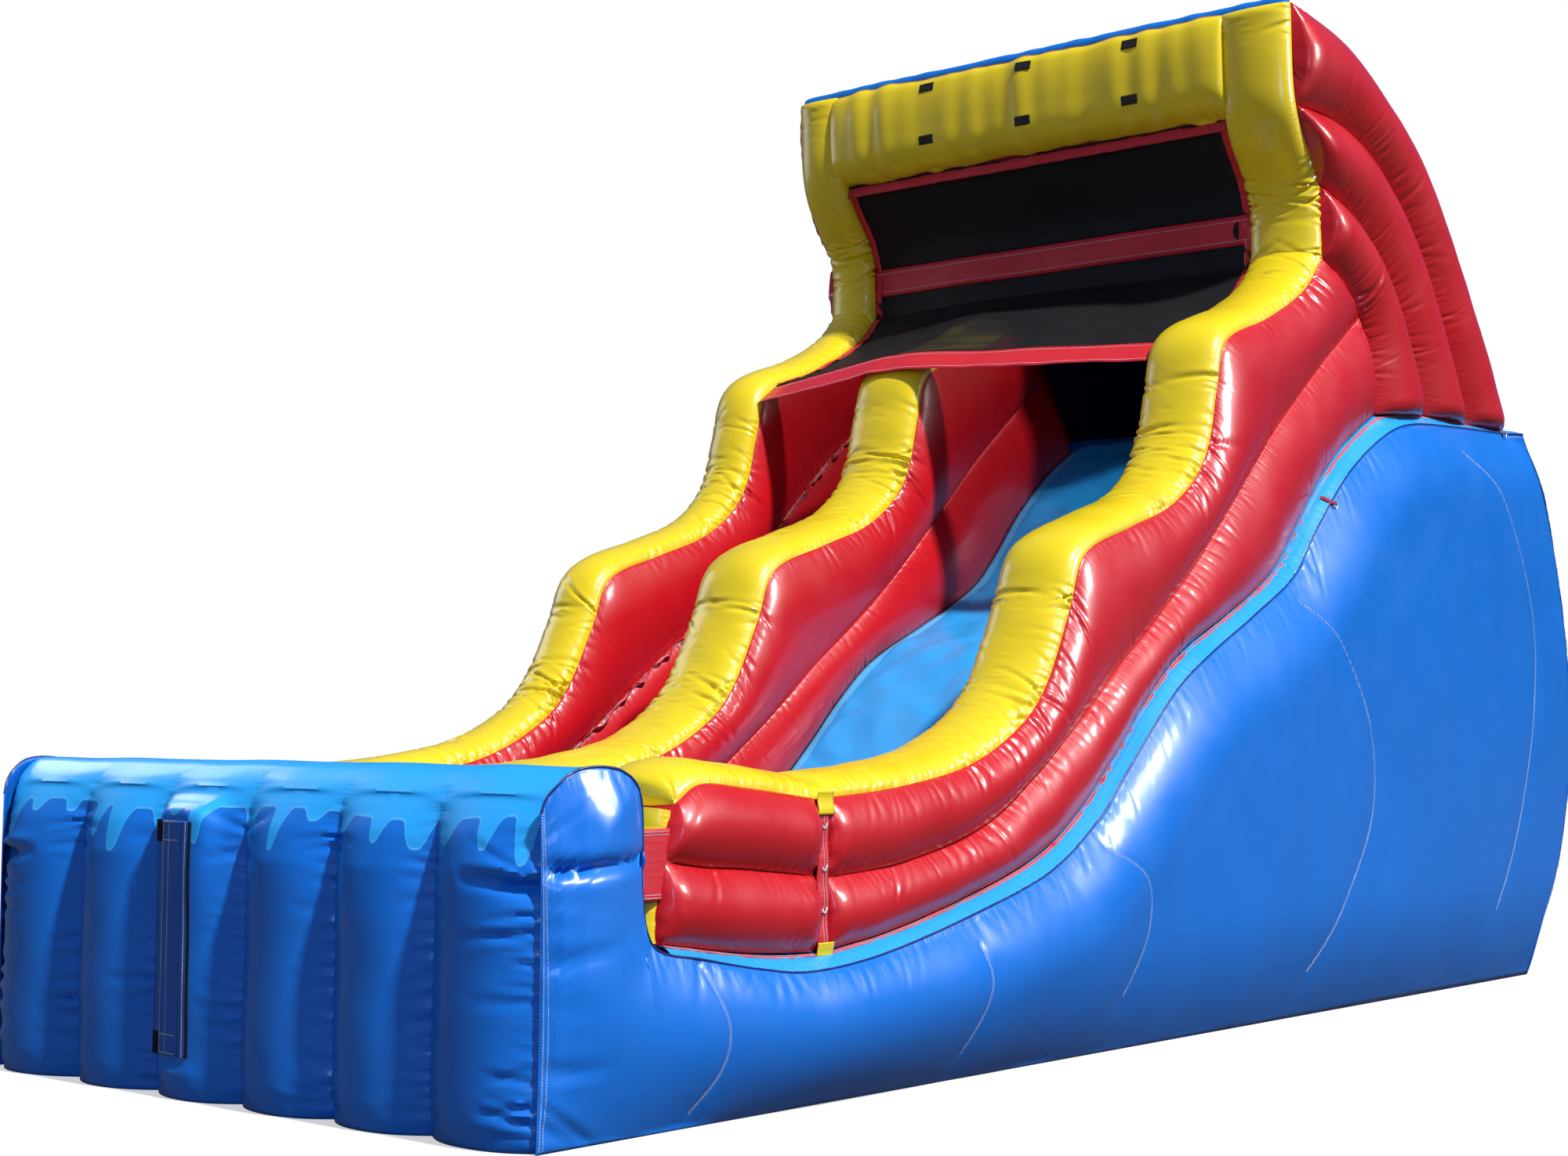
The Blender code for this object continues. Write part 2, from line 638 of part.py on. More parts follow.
# Front hem of the net, hanging from the crest
crest = post_line[crest_row * wave_steps]
crest_outward = post_outward[crest_row * wave_steps]
hang = np.array([-math.sin(hem_lean), -math.cos(hem_lean)])
hem_outward = np.array([-hang[1], hang[0]]) * -1
hem_lead = seam_gap + net_skin * max(0, crest_outward @ hang)
hem_outer, hem_inner = [], []
for x, share in zip(net_across, drape_shares):
    top = crest + crest_outward * (net_lift + cap_crown * share) + hang * hem_lead
    fall = np.array([top, top + hang * hem_drop])
    hem_inner.append(with_x(x, fall))
    hem_outer.append(with_x(x, fall + hem_outward * net_skin))
sheet("net_front_hem", hem_outer, hem_inner, hem_red, roughness=0.6)

# Slide liner on the slope, between the middle wall and the right wall
bed_run = distances(bed_line)
liner = stretch(bed_line, bed_run, liner_start_share * bed_run[-1], liner_end_share * bed_run[-1])
liner_x = (mid_right + liner_edge, right_inner - liner_edge)
liner_top = [with_x(x, liner + [0, seam_gap + liner_skin]) for x in liner_x]
liner_under = [with_x(x, liner + [0, seam_gap]) for x in liner_x]
sheet("slide_liner", liner_top, liner_under, light_blue)

# Inflated steps of the climbing lane, at equal rises
step_x = (left_inner + wall_swell + step_edge, mid_left - wall_swell - step_edge)
step_ends = (
    (step_x[0], step_shoulder_share),
    (step_x[0] + step_shoulder, 1),
    (step_x[1] - step_shoulder, 1),
    (step_x[1], step_shoulder_share),
)
for number in range(step_count):
    at_height = bed_line[0][1] + (bed_line[-1][1] - bed_line[0][1]) * (number + 1) / (step_count + 1)
    centre_run = np.interp(at_height, bed_line[:, 1], bed_run)
    seat = stretch(bed_line, bed_run, centre_run - step_depth / 2, centre_run + step_depth / 2)
    seat = seat + [0, seam_gap]
    away = normals(seat[[0, -1]])[0]
    turn = np.arange(1, step_arc_steps) / step_arc_steps
    rings = []
    for x, share in step_ends:
        arc = seat[-1] + (seat[0] - seat[-1]) * turn[:, None]
        arc = arc + away * (share * step_rise * np.sin(math.pi * turn))[:, None]
        rings.append(with_x(x, np.vstack([seat, arc])))
    loft(f"climb_step_{number + 1}", rings, red)

# Deflation port, on one flat of its bumper column
flat_left = port_column_number * column_steps + 1
flat = np.array([bumper_grid[flat_left + k][1] for k in (0, 1)])
port_right = (flat[1] - flat[0]) / np.linalg.norm(flat[1] - flat[0])
port_out = np.cross(port_right, (0, 0, 1))
port_turn = Matrix.Rotation(math.atan2(port_right[1], port_right[0]), 4, "Z")
port_centre = np.array([*flat.mean(axis=0)[:2], tape_foot + tape_height / 2])


def at_port(right, out, up):
    return port_centre + port_right * right + port_out * out + np.array([0, 0, up])


block(
    "zip_tape",
    at_port(0, seam_gap + tape_skin / 2, 0),
    (tape_width, tape_skin, tape_height),
    mesh_black,
    port_turn,
)
slider_out = 2 * seam_gap + tape_skin + slider_depth / 2
block(
    "zip_slider",
    at_port(0, slider_out, (tape_height - slider_height) / 2),
    (slider_width, slider_depth, slider_height),
    steel,
    port_turn,
    metallic=1.0,
)
flap_half = flap_width / 2
flap_outline = (
    (-flap_half, flap_standoff - flap_skin),
    (flap_half - flap_root, flap_standoff - flap_skin),
    (flap_half - flap_root, seam_gap),
    (flap_half, seam_gap),
    (flap_half, flap_standoff),
    (-flap_half, flap_standoff),
)
flap_rings = [
    [at_port(right, out, up) for right, out in flap_outline]
    for up in (-tape_height / 2 - flap_root, tape_height / 2 + flap_root)
]
loft("port_flap", flap_rings, blue, pivot=at_port(flap_half, flap_standoff, 0))


# Tether straps and their D-rings
def strap_line(reach_x, drop):
    """(x, height) points of a strap's middle: over the trim's edge, out, and round the ring's wire."""
    loop_radius = ring_wire + ring_play + strap_skin / 2
    start = (-reach_x * (1 - strap_start_share), drop * (1 - strap_start_share) + strap_lift)
    turn = math.pi / 2 - strap_loop * np.linspace(0, 1, loop_steps + 1)
    centre = (strap_reach, strap_skin / 2 - loop_radius)
    loop = [(centre[0] + loop_radius * math.cos(t), centre[1] + loop_radius * math.sin(t)) for t in turn]
    return np.array([start, (0, strap_skin / 2), *loop]), centre


def ring_curve(name, location, slope):
    """A closed D of wire: its straight bar lies on the hinge's axis."""
    half, corner = ring_width / 2, ring_corner
    turn = np.linspace(0, math.pi, ring_steps + 1)
    bow = [(half * math.cos(t), -corner - (ring_drop - corner) * math.sin(t)) for t in turn]
    points = [(corner - half, 0), (half - corner, 0), *bow]
    curve = bpy.data.curves.new(name, "CURVE")
    curve.dimensions = "3D"
    curve.bevel_depth = ring_wire
    curve.bevel_resolution = 1
    spline = curve.splines.new("POLY")
    spline.points.add(len(points) - 1)
    for point, (along, up) in zip(spline.points, points):
        point.co = (0, along, up, 1)
    spline.use_cyclic_u = True
    curve.materials.append(finish(name, steel, 0.35, 1.0))
    made = bpy.data.objects.new(name, curve)
    made.location = location
    made.rotation_euler = (slope, 0, 0)
    bpy.context.scene.collection.objects.link(made)
    return made


for place, share in strap_places_share:
    y = (share - centre_share) * length
    step = strap_width / 2
    edge = np.array([np.interp(y, trim_y, trim_outer[:, axis]) for axis in range(3)])
    inner = np.array([np.interp(y, trim_y, trim_inner[:, axis]) for axis in range(3)])
    rise = np.interp([y - step, y + step], trim_y, trim_outer[:, 2])
    slope = math.atan2(rise[1] - rise[0], 2 * step)
    along = np.array([0, math.cos(slope), math.sin(slope)])
    upward = np.array([0, -math.sin(slope), math.cos(slope)])
    line, ring_centre = strap_line(edge[0] - inner[0], (inner[2] - edge[2]) * math.cos(slope))
    line[:, 1] += seam_gap
    facing_up = normals(line) * strap_skin / 2
    for name, side in (("left", -1), ("right", 1)):
        grids = []
        for offset in (facing_up, -facing_up):
            section = line + offset
            grids.append([
                [(side * (edge[0] + px), *(edge + along * shift + upward * pz)[1:]) for px, pz in section]
                for shift in (-step, step)
            ])
        sheet(f"{name}_{place}_tether_strap", *grids, hem_red, roughness=0.8)
        ring_place = edge + upward * (ring_centre[1] + seam_gap)
        ring_place[0] = side * (edge[0] + ring_centre[0])
        ring_curve(f"{name}_{place}_tether_ring", ring_place, slope)

# Air tube: an open sleeve that lies on the ground behind the rear panel
tube_mesh = bpy.data.meshes.new("inflation_tube")
tube_form = bmesh.new()
bmesh.ops.create_cone(
    tube_form, cap_ends=False, segments=round_steps, radius1=tube_radius, radius2=tube_radius, depth=tube_length
)
tube_form.to_mesh(tube_mesh)
tube_form.free()
tube_mesh.shade_smooth()
tube_mesh.materials.append(finish("inflation_tube", blue, 0.5, 0.0))
tube = bpy.data.objects.new("inflation_tube", tube_mesh)
tube.rotation_euler = (math.radians(90), 0, 0)
tube.location = (tube_side_share * body_half, rear + seam_gap + tube_length / 2, tube_radius)
bpy.context.scene.collection.objects.link(tube)
wall = tube.modifiers.new("wall", "SOLIDIFY")
wall.thickness = skin
wall.offset = -1
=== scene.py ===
# %% [markdown]
# # An inflatable water slide
# The real slide is sewn from coated vinyl. A blower keeps it full, so that every chamber swells between its
# seams, and the cloth gathers into short folds wherever a seam bends. This lesson rebuilds it chamber by
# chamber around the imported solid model, which gives the places and sizes.

import json
import math

import bmesh
import bpy
import numpy as np
from mathutils import Matrix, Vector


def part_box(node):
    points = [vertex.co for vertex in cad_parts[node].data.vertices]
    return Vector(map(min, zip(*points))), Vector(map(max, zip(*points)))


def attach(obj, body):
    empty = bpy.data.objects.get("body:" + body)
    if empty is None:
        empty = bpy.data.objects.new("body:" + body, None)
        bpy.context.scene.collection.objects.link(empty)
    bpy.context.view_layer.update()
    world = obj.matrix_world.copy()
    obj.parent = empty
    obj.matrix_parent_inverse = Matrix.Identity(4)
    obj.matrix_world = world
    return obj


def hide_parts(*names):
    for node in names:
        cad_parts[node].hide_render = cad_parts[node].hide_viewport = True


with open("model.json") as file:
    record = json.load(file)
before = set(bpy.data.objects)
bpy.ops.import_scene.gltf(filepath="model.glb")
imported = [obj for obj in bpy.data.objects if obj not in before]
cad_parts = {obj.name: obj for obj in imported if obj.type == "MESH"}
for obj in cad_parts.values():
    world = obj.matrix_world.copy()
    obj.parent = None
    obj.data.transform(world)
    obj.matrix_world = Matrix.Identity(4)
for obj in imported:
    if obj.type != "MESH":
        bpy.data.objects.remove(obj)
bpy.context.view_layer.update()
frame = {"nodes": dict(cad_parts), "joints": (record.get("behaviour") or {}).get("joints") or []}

# %% [markdown]
# ## Lines in the side view
# All walls, columns and panels follow a few seam lines. Each is a smooth curve through measured points, given
# as shares of the slide's length and height. A Catmull-Rom curve is used because it passes through its points.

# %% Curves through measured points
length, height, half_width = 8.6, 5.5, 1.72
front, rear = -length / 2, length / 2


def in_metres(shares):
    """(y, z) points: y = (share - 0.5) x length, z = share x height."""
    points = np.array(shares, float).reshape(-1, 2)
    return np.column_stack([(points[:, 0] - 0.5) * length, points[:, 1] * height])


curve_steps = 24


def smooth(points, steps=curve_steps):
    """Catmull-Rom curve: between b and c, with their neighbours a and d, the point at t is
    b + ((c - a) t + (2a - 5b + 4c - d) t^2 + (3b - a - 3c + d) t^3) / 2."""
    points = np.asarray(points, float)
    padded = np.vstack([2 * points[0] - points[1], points, 2 * points[-1] - points[-2]])
    a, b, c, d = padded[:-3], padded[1:-2], padded[2:-1], padded[3:]
    t = (np.arange(steps) / steps)[:, None, None]
    curve = b + ((c - a) * t + (2 * a - 5 * b + 4 * c - d) * t**2 + (3 * b - a - 3 * c + d) * t**3) / 2
    return np.vstack([curve.transpose(1, 0, 2).reshape(-1, points.shape[1]), points[-1]])


def run_of(points):
    """Distance along a line at each of its points."""
    return np.concatenate([[0], np.cumsum(np.linalg.norm(np.diff(points, axis=0), axis=1))])


def at_run(table, run, wanted):
    """Rows of a table, read off at the wanted distances."""
    return np.column_stack([np.interp(wanted, run, column) for column in np.asarray(table).T])


def evenly(spacing, lead, *others):
    """Lines that keep pace with each other, at stations one spacing apart along the first."""
    run = run_of(lead)
    wanted = np.linspace(0, run[-1], max(2, round(run[-1] / spacing)) + 1)
    return [at_run(line, run, wanted) for line in (lead, *others)]


def square_to(line):
    """Unit vectors on a line's left: up where it runs to +Y, forward where it climbs."""
    along = np.gradient(line, axis=0)
    along /= np.linalg.norm(along, axis=1)[:, None]
    return np.column_stack([-along[:, 1], along[:, 0]])


bend_window = 0.12


def bend_of(line):
    """How much a line bends, in 1/m, above zero in a valley: the change of its direction over a short window."""
    run = run_of(line)
    along = np.gradient(line, axis=0)
    turn = np.unwrap(np.arctan2(along[:, 1], along[:, 0]))
    after, before = (np.interp(run + side * bend_window / 2, run, turn) for side in (1, -1))
    return (after - before) / bend_window


# %% Measured lines
wave_shares = np.array((
    (0.186, 0.224, 0.186, 0.165, 0.186, 0.111), (0.244, 0.231, 0.247, 0.173, 0.250, 0.125),
    (0.303, 0.247, 0.314, 0.197, 0.331, 0.155), (0.348, 0.278, 0.360, 0.236, 0.378, 0.182),
    (0.374, 0.315, 0.393, 0.270, 0.413, 0.218), (0.396, 0.378, 0.421, 0.302, 0.444, 0.260),
    (0.412, 0.427, 0.448, 0.335, 0.471, 0.300), (0.459, 0.455, 0.488, 0.379, 0.506, 0.342),
    (0.501, 0.478, 0.523, 0.420, 0.559, 0.380), (0.531, 0.509, 0.549, 0.455, 0.593, 0.404),
    (0.547, 0.545, 0.576, 0.493, 0.622, 0.430), (0.556, 0.595, 0.599, 0.527, 0.645, 0.464),
    (0.569, 0.644, 0.628, 0.569, 0.669, 0.505), (0.620, 0.676, 0.669, 0.620, 0.703, 0.551),
    (0.666, 0.713, 0.703, 0.660, 0.738, 0.585), (0.691, 0.751, 0.742, 0.702, 0.763, 0.605),
))
pool_shares = np.array((
    (0.081, 0.223, 0.074, 0.184, 0.070, 0.127), (0.098, 0.236, 0.100, 0.178, 0.103, 0.120),
    (0.128, 0.233, 0.128, 0.175, 0.134, 0.115), (0.177, 0.224, 0.177, 0.167, 0.177, 0.111),
))
inner_arc = in_metres(((0.688, 0.825), (0.719, 0.811), (0.747, 0.789), (0.772, 0.758), (0.795, 0.716),
                       (0.815, 0.669), (0.834, 0.615)))
middle_arc = in_metres(((0.658, 0.898), (0.707, 0.897), (0.751, 0.878), (0.791, 0.840), (0.829, 0.782),
                        (0.864, 0.705), (0.901, 0.615)))
outer_arc = in_metres(((0.652, 1.000), (0.715, 0.985), (0.772, 0.945), (0.826, 0.891), (0.872, 0.815),
                       (0.919, 0.724), (0.965, 0.618)))
cap_line, seam_line, bed_line = (smooth(in_metres(wave_shares[:, k : k + 2])) for k in (0, 2, 4))
pool_cap_line, pool_seam_line, pool_bed_line = (smooth(in_metres(pool_shares[:, k : k + 2])) for k in (0, 2, 4))
post_line = np.vstack([cap_line, smooth([cap_line[-1], inner_arc[0], middle_arc[0], outer_arc[0]])[1:]])
deck_line = np.vstack([bed_line, inner_arc[-1], middle_arc[-1], outer_arc[-1]])
edge_line = np.vstack([pool_bed_line, deck_line])
crest_at = 12 * curve_steps
print("slope", round(run_of(bed_line)[-1], 2), "m, cap and post", round(run_of(post_line)[-1], 2), "m")

# %% [markdown]
# ## Surfaces on a grid
# Inflated cloth is a smooth surface with folds, so each piece is a grid of points worked out with numpy: rows
# run along a seam, columns run across it. A grid that closes on itself is a tube, and its ends are domed.
# Thin pieces get their thickness from a Solidify modifier.

# %% Grid to mesh
bend_sharp = math.radians(55)


def facing(grid, closed=False):
    """Unit normals of a grid: the direction of its rows crossed with the direction of its columns."""
    along = np.gradient(grid, axis=0)
    across = (np.roll(grid, -1, 1) - np.roll(grid, 1, 1)) / 2 if closed else np.gradient(grid, axis=1)
    out = np.cross(along, across)
    return out / np.maximum(np.linalg.norm(out, axis=2, keepdims=True), 1e-12)


def pushed(grid, bump, closed=False):
    """Each point moves along its normal by its bump."""
    return grid + facing(grid, closed) * bump[..., None]


def lay_uv(grid, closed):
    """UV in metres: distance along the middle column, and across the middle row."""
    rows, columns = grid.shape[:2]
    ring = grid[rows // 2]
    ring = np.vstack([ring, ring[:1]]) if closed else ring
    u, v = np.meshgrid(run_of(grid[:, columns // 2]), run_of(ring), indexing="ij")
    return np.dstack([u, v])


def grid_piece(name, grid, material, closed=False, marks=None, thickness=0.0):
    """A mesh from a grid of points. Face (i, k) joins (i, k), (i+1, k), (i+1, k+1) and (i, k+1), which makes
    it face along its rows crossed with its columns. Equal points, such as a pole's, are merged."""
    rows, columns = grid.shape[:2]
    uv = lay_uv(grid, closed)
    i, k = np.meshgrid(np.arange(rows - 1), np.arange(columns if closed else columns - 1), indexing="ij")
    corners = [(i, k), (i + 1, k), (i + 1, k + 1), (i, k + 1)]
    faces = np.stack([a * columns + b % columns for a, b in corners], axis=-1).reshape(-1, 4)
    mesh = bpy.data.meshes.new(name)
    mesh.from_pydata(grid.reshape(-1, 3).tolist(), [], faces.tolist())
    layer = mesh.uv_layers.new(name="UVMap")
    spread = np.stack([uv[a, b] for a, b in corners], axis=2).reshape(-1)
    layer.data.foreach_set("uv", spread.astype(np.float32))
    for key, values in (marks or {}).items():
        mark = mesh.attributes.new(key, "FLOAT", "POINT")
        mark.data.foreach_set("value", np.broadcast_to(values, (rows, columns)).astype(np.float32).ravel())
    form = bmesh.new()
    form.from_mesh(mesh)
    bmesh.ops.remove_doubles(form, verts=form.verts, dist=1e-6)
    form.to_mesh(mesh)
    form.free()
    return finished(name, mesh, material, thickness)


def finished(name, mesh, material, thickness=0.0):
    """The mesh as an object, smooth but for sharp bends, and with a wall of some thickness behind its faces."""
    mesh.shade_smooth()
    mesh.set_sharp_from_angle(angle=bend_sharp)
    mesh.materials.append(material)
    piece = bpy.data.objects.new(name, mesh)
    bpy.context.scene.collection.objects.link(piece)
    if thickness:
        wall = piece.modifiers.new("thickness", "SOLIDIFY")
        wall.thickness = thickness
        wall.offset = -1
    return piece


dome_rings = 6


def domed(grid, bulges=(0.0, 0.0)):
    """A tube with both ends closed: ring j is the end ring drawn in to cos(a) of its size and moved out by
    bulge x sin(a), with a from 0 to a quarter turn. An end without a bulge is closed by one ring."""
    ends = []
    for ring, nearer, bulge in ((grid[0], grid[1], bulges[0]), (grid[-1], grid[-2], bulges[1])):
        centre = ring.mean(axis=0)
        out = (ring - nearer).mean(axis=0)
        out /= np.linalg.norm(out)
        turn = np.linspace(0, math.pi / 2, (dome_rings if bulge else 1) + 1)[1:, None, None]
        ends.append(centre + (ring - centre)[None] * np.cos(turn) + out * bulge * np.sin(turn))
    return np.concatenate([ends[0][::-1], grid, ends[1]])


def placed(piece, slot, *nodes, body="slide", fill=None):
    """The piece rides on its body and stands for its solids, which are hidden. slot and fill are not used."""
    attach(piece, body)
    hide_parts(*nodes)
    return piece


def tube_piece(name, grid, seam, material, domes=(0.0, 0.0)):
    """A tube closed by domes, over which its seam marks run on."""
    rings = tuple(dome_rings if bulge else 1 for bulge in domes)
    return grid_piece(name + "_vinyl", domed(grid, domes), material, closed=True,
                      marks={"seam": np.pad(seam, (rings, (0, 0)), mode="edge")})


# %% [markdown]
# ## Folds
# Where a seam bends, the cloth on the inside of the bend has too much length and gathers: narrow valleys
# start at the seam and die out as they run away from it. Away from the seams the cloth is almost smooth.
# The folds are drawn with a seeded generator, so that each run gives the same slide.

# %% Folds along a seam, and soft unevenness
fold_reach = 0.34


def folds(along, off, power, seed, spacing=0.055, reach=0.17, depth=0.019, width=0.010, lean=0.35):
    """Height of the folds on a grid whose rows lie along a seam. Each fold at place p adds
    power x depth x (1 - off / reach)^1.2 x (0.45 exp(-(u / 2.2)^2) - exp(-u^2)), where
    u = (along - p - lean x off) / (width x (1 + 0.7 off / reach)). Folds come in clusters."""
    rng = np.random.default_rng(seed)
    row_run = along[:, np.argmin(off.mean(axis=0))]
    places = np.arange(row_run[0] + spacing / 3, row_run[-1], spacing)
    places = places + rng.uniform(-0.38, 0.38, len(places)) * spacing
    cluster = 0.8 + 0.5 * np.sin(places * rng.uniform(7, 12) + rng.uniform(0, 6)) * np.sin(places * 3.1 + seed)
    powers = np.interp(places, row_run, power) * rng.uniform(0.25, 1.0, len(places)) * cluster
    leans, widths = rng.normal(0, lean, len(places)), rng.uniform(0.7, 1.7, len(places)) * width
    reaches = reach * rng.uniform(0.25, 1.0, len(places)) * (0.5 + 0.5 * np.clip(powers, 0, 1))
    total = np.zeros(along.shape)
    for p, strength, slant, wide, far in zip(places, powers, leans, widths, reaches):
        part = slice(*np.searchsorted(row_run, (p - 6 * wide - abs(slant) * far, p + 6 * wide + abs(slant) * far)))
        near = off[part]
        u = (along[part] - p - slant * near) / (wide * (1 + 0.7 * near / far))
        fade = fading(near, far) ** 1.2
        total[part] += strength * fade * (0.45 * np.exp(-((u / 2.2) ** 2)) - np.exp(-(u**2)))
    return total * depth


def fading(off, reach):
    """1 on a seam, falling evenly to 0 at the reach."""
    return np.clip(1 - off / reach, 0, 1)


def unevenness(a, b, seed, size=0.003, shortest=0.16, longest=0.8, count=16):
    """The mean of plane waves in random directions, scaled to the wanted size."""
    rng = np.random.default_rng(seed)
    turn, phase = rng.uniform(0, 2 * math.pi, (2, count))
    wave_number = 2 * math.pi / rng.uniform(shortest, longest, count)
    total = sum(
        np.sin(k * (a * math.cos(t) + b * math.sin(t)) + p) for k, t, p in zip(wave_number, turn, phase)
    )
    return size * total / math.sqrt(count / 2)


def gather(line, side, base=0.35, gain=1.0):
    """Strength of the folds along a line: a base, and more where it bends towards the given side."""
    return np.clip(base + gain * side * bend_of(line), 0.05, 1.5)


def end_pinch(run, start=0.10, end=0.10, least=0.35):
    """Share of the full swelling near a tube's ends: least + (1 - least) x sqrt(1 - (1 - s)^2), where s is the
    distance from the end over start or end, and 1 at most."""
    near = np.minimum(run / start, (run[-1] - run) / end)
    return least + (1 - least) * np.sqrt(1 - (1 - np.clip(near, 0, 1)) ** 2)


# %% [markdown]
# ## Finishes
# Coated vinyl is glossy plastic on a woven base. Its colour is even, with slight tone changes, fine creases
# close to the seams and a little dust near the ground. All the vinyl shares one node group for these, and
# each material has its own Principled shader.

# %% Node helper
def add(tree, kind, inputs=None, **settings):
    """A node with its settings, whose inputs are values or the sockets that feed them."""
    made = tree.nodes.new(kind)
    for key, value in settings.items():
        setattr(made, key, value)
    for key, value in (inputs or {}).items():
        if isinstance(value, bpy.types.NodeSocket):
            tree.links.new(value, made.inputs[key])
        else:
            made.inputs[key].default_value = value
    return made


def maths(tree, operation, *values, clamp=False):
    return add(tree, "ShaderNodeMath", dict(enumerate(values)), operation=operation, use_clamp=clamp).outputs[0]


def rescaled(tree, value, low, high, to_low, to_high):
    """The value's range from low to high is carried over to another, with a smooth start and end."""
    inputs = {"Value": value, "From Min": low, "From Max": high, "To Min": to_low, "To Max": to_high}
    return add(tree, "ShaderNodeMapRange", inputs, interpolation_type="SMOOTHSTEP").outputs["Result"]


def blended(tree, share, first, second, blend="MIX"):
    """The first colour where the share is 0, the second where it is 1."""
    inputs = {0: share, 6: first, 7: second}
    return add(tree, "ShaderNodeMix", inputs, data_type="RGBA", blend_type=blend).outputs[2]


def noise(tree, place, scale, detail):
    return add(tree, "ShaderNodeTexNoise", {"Vector": place, "Scale": scale, "Detail": detail}).outputs["Fac"]


def marked(tree, key):
    """A mark that the mesh carries at its points."""
    return add(tree, "ShaderNodeAttribute", attribute_name=key).outputs["Fac"]


def new_material(name):
    """A material with nodes, its tree and its Principled shader."""
    made = bpy.data.materials.new(name)
    made.use_nodes = True
    return made, made.node_tree, made.node_tree.nodes["Principled BSDF"]


# %% Vinyl surface group
dust_colour = (0.42, 0.38, 0.33, 1)


def vinyl_surface_group():
    """Tone, dust and fine creases of coated vinyl, from the object's coordinates and the UV in metres."""
    group = bpy.data.node_groups.new("vinyl_surface", "ShaderNodeTree")
    for key, kind, value in (("Colour", "NodeSocketColor", (1, 1, 1, 1)), ("Gloss", "NodeSocketFloat", 0.3),
                             ("Dust", "NodeSocketFloat", 0.3), ("Creases", "NodeSocketFloat", 1.0)):
        group.interface.new_socket(key, in_out="INPUT", socket_type=kind).default_value = value
    for key, kind in (("Colour", "NodeSocketColor"), ("Roughness", "NodeSocketFloat"), ("Height", "NodeSocketFloat")):
        group.interface.new_socket(key, in_out="OUTPUT", socket_type=kind)
    given = add(group, "NodeGroupInput").outputs
    place = add(group, "ShaderNodeTexCoord").outputs
    low_and_high = add(group, "ShaderNodeSeparateXYZ", {0: place["Object"]}).outputs["Z"]
    tone = noise(group, place["Object"], 1.7, 4.0)
    toned = blended(group, 1.0, given["Colour"],
                    add(group, "ShaderNodeCombineColor", {k: rescaled(group, tone, 0.3, 0.7, 0.95, 1.02)
                                                          for k in (0, 1, 2)}).outputs[0], "MULTIPLY")
    grime = noise(group, place["Object"], 9.0, 6.0)
    low = maths(group, "MULTIPLY", rescaled(group, low_and_high, 0.0, 0.7, 1.0, 0.1),
                rescaled(group, grime, 0.45, 0.75, 0.0, 1.0))
    dust = maths(group, "MULTIPLY", low, given["Dust"])
    colour = blended(group, dust, toned, dust_colour)
    smear = noise(group, place["Object"], 3.1, 3.0)
    rough = maths(group, "ADD", given["Gloss"], rescaled(group, smear, 0.3, 0.7, -0.05, 0.07))
    rough = maths(group, "ADD", rough, maths(group, "MULTIPLY", dust, 0.5), clamp=True)
    near = marked(group, "seam")
    drawn = add(group, "ShaderNodeMapping", {"Vector": place["UV"], "Scale": (55.0, 7.0, 1.0)}).outputs[0]
    crease = noise(group, drawn, 1.0, 2.0)
    crease = maths(group, "MULTIPLY", maths(group, "MULTIPLY", crease, near), given["Creases"])
    scrim = noise(group, place["Object"], 260.0, 1.0)
    high = maths(group, "ADD", maths(group, "MULTIPLY", crease, 0.9), maths(group, "MULTIPLY", scrim, 0.025))
    add(group, "NodeGroupOutput", {"Colour": colour, "Roughness": rough, "Height": high})
    return group


vinyl_surface = vinyl_surface_group()


def vinyl(name, colour, gloss=0.37, creases=1.0, coat=0.4, paint=None):
    """Coated vinyl of one colour. paint may work out another colour socket from the material's own tree."""
    made, tree, shader = new_material(name)
    base = (*colour, 1) if paint is None else paint(tree, (*colour, 1))
    inputs = {"Colour": base, "Gloss": gloss, "Dust": 0.02, "Creases": creases}
    surface = add(tree, "ShaderNodeGroup", inputs, node_tree=vinyl_surface)
    relief = add(tree, "ShaderNodeBump", {"Height": surface.outputs["Height"], "Strength": 0.7, "Distance": 0.006})
    tree.links.new(surface.outputs["Colour"], shader.inputs["Base Color"])
    tree.links.new(surface.outputs["Roughness"], shader.inputs["Roughness"])
    tree.links.new(relief.outputs[0], shader.inputs["Normal"])
    shader.inputs["Specular IOR Level"].default_value = 0.42
    shader.inputs["Coat Weight"].default_value = coat
    shader.inputs["Coat Roughness"].default_value = 0.13
    return made


# %% Vinyl colours
yellow_colour, red_colour = (0.82, 0.62, 0.012), (0.56, 0.006, 0.013)
blue_colour, light_blue_colour = (0.004, 0.172, 0.69), (0.012, 0.36, 0.90)
navy_colour, hem_colour = (0.006, 0.022, 0.16), (0.60, 0.018, 0.032)
yellow_vinyl = vinyl("yellow_vinyl", yellow_colour)
red_vinyl = vinyl("red_vinyl", red_colour)
blue_vinyl = vinyl("blue_vinyl", blue_colour)
light_blue_vinyl = vinyl("light_blue_vinyl", light_blue_colour)
hem_vinyl = vinyl("hem_vinyl", hem_colour, gloss=0.45, coat=0.1)
navy_vinyl = vinyl("navy_piping", navy_colour, gloss=0.35)

# %% [markdown]
# ## Walls
# A wall is three tubes on top of each other: two red bolsters and a yellow cap. A bolster's side swells
# between its two seams. Its upper seam gathers in a valley of the wave and its lower seam on a crest, because
# there the seam is on the inside of the bend. The cap gathers across its whole width in the valleys.

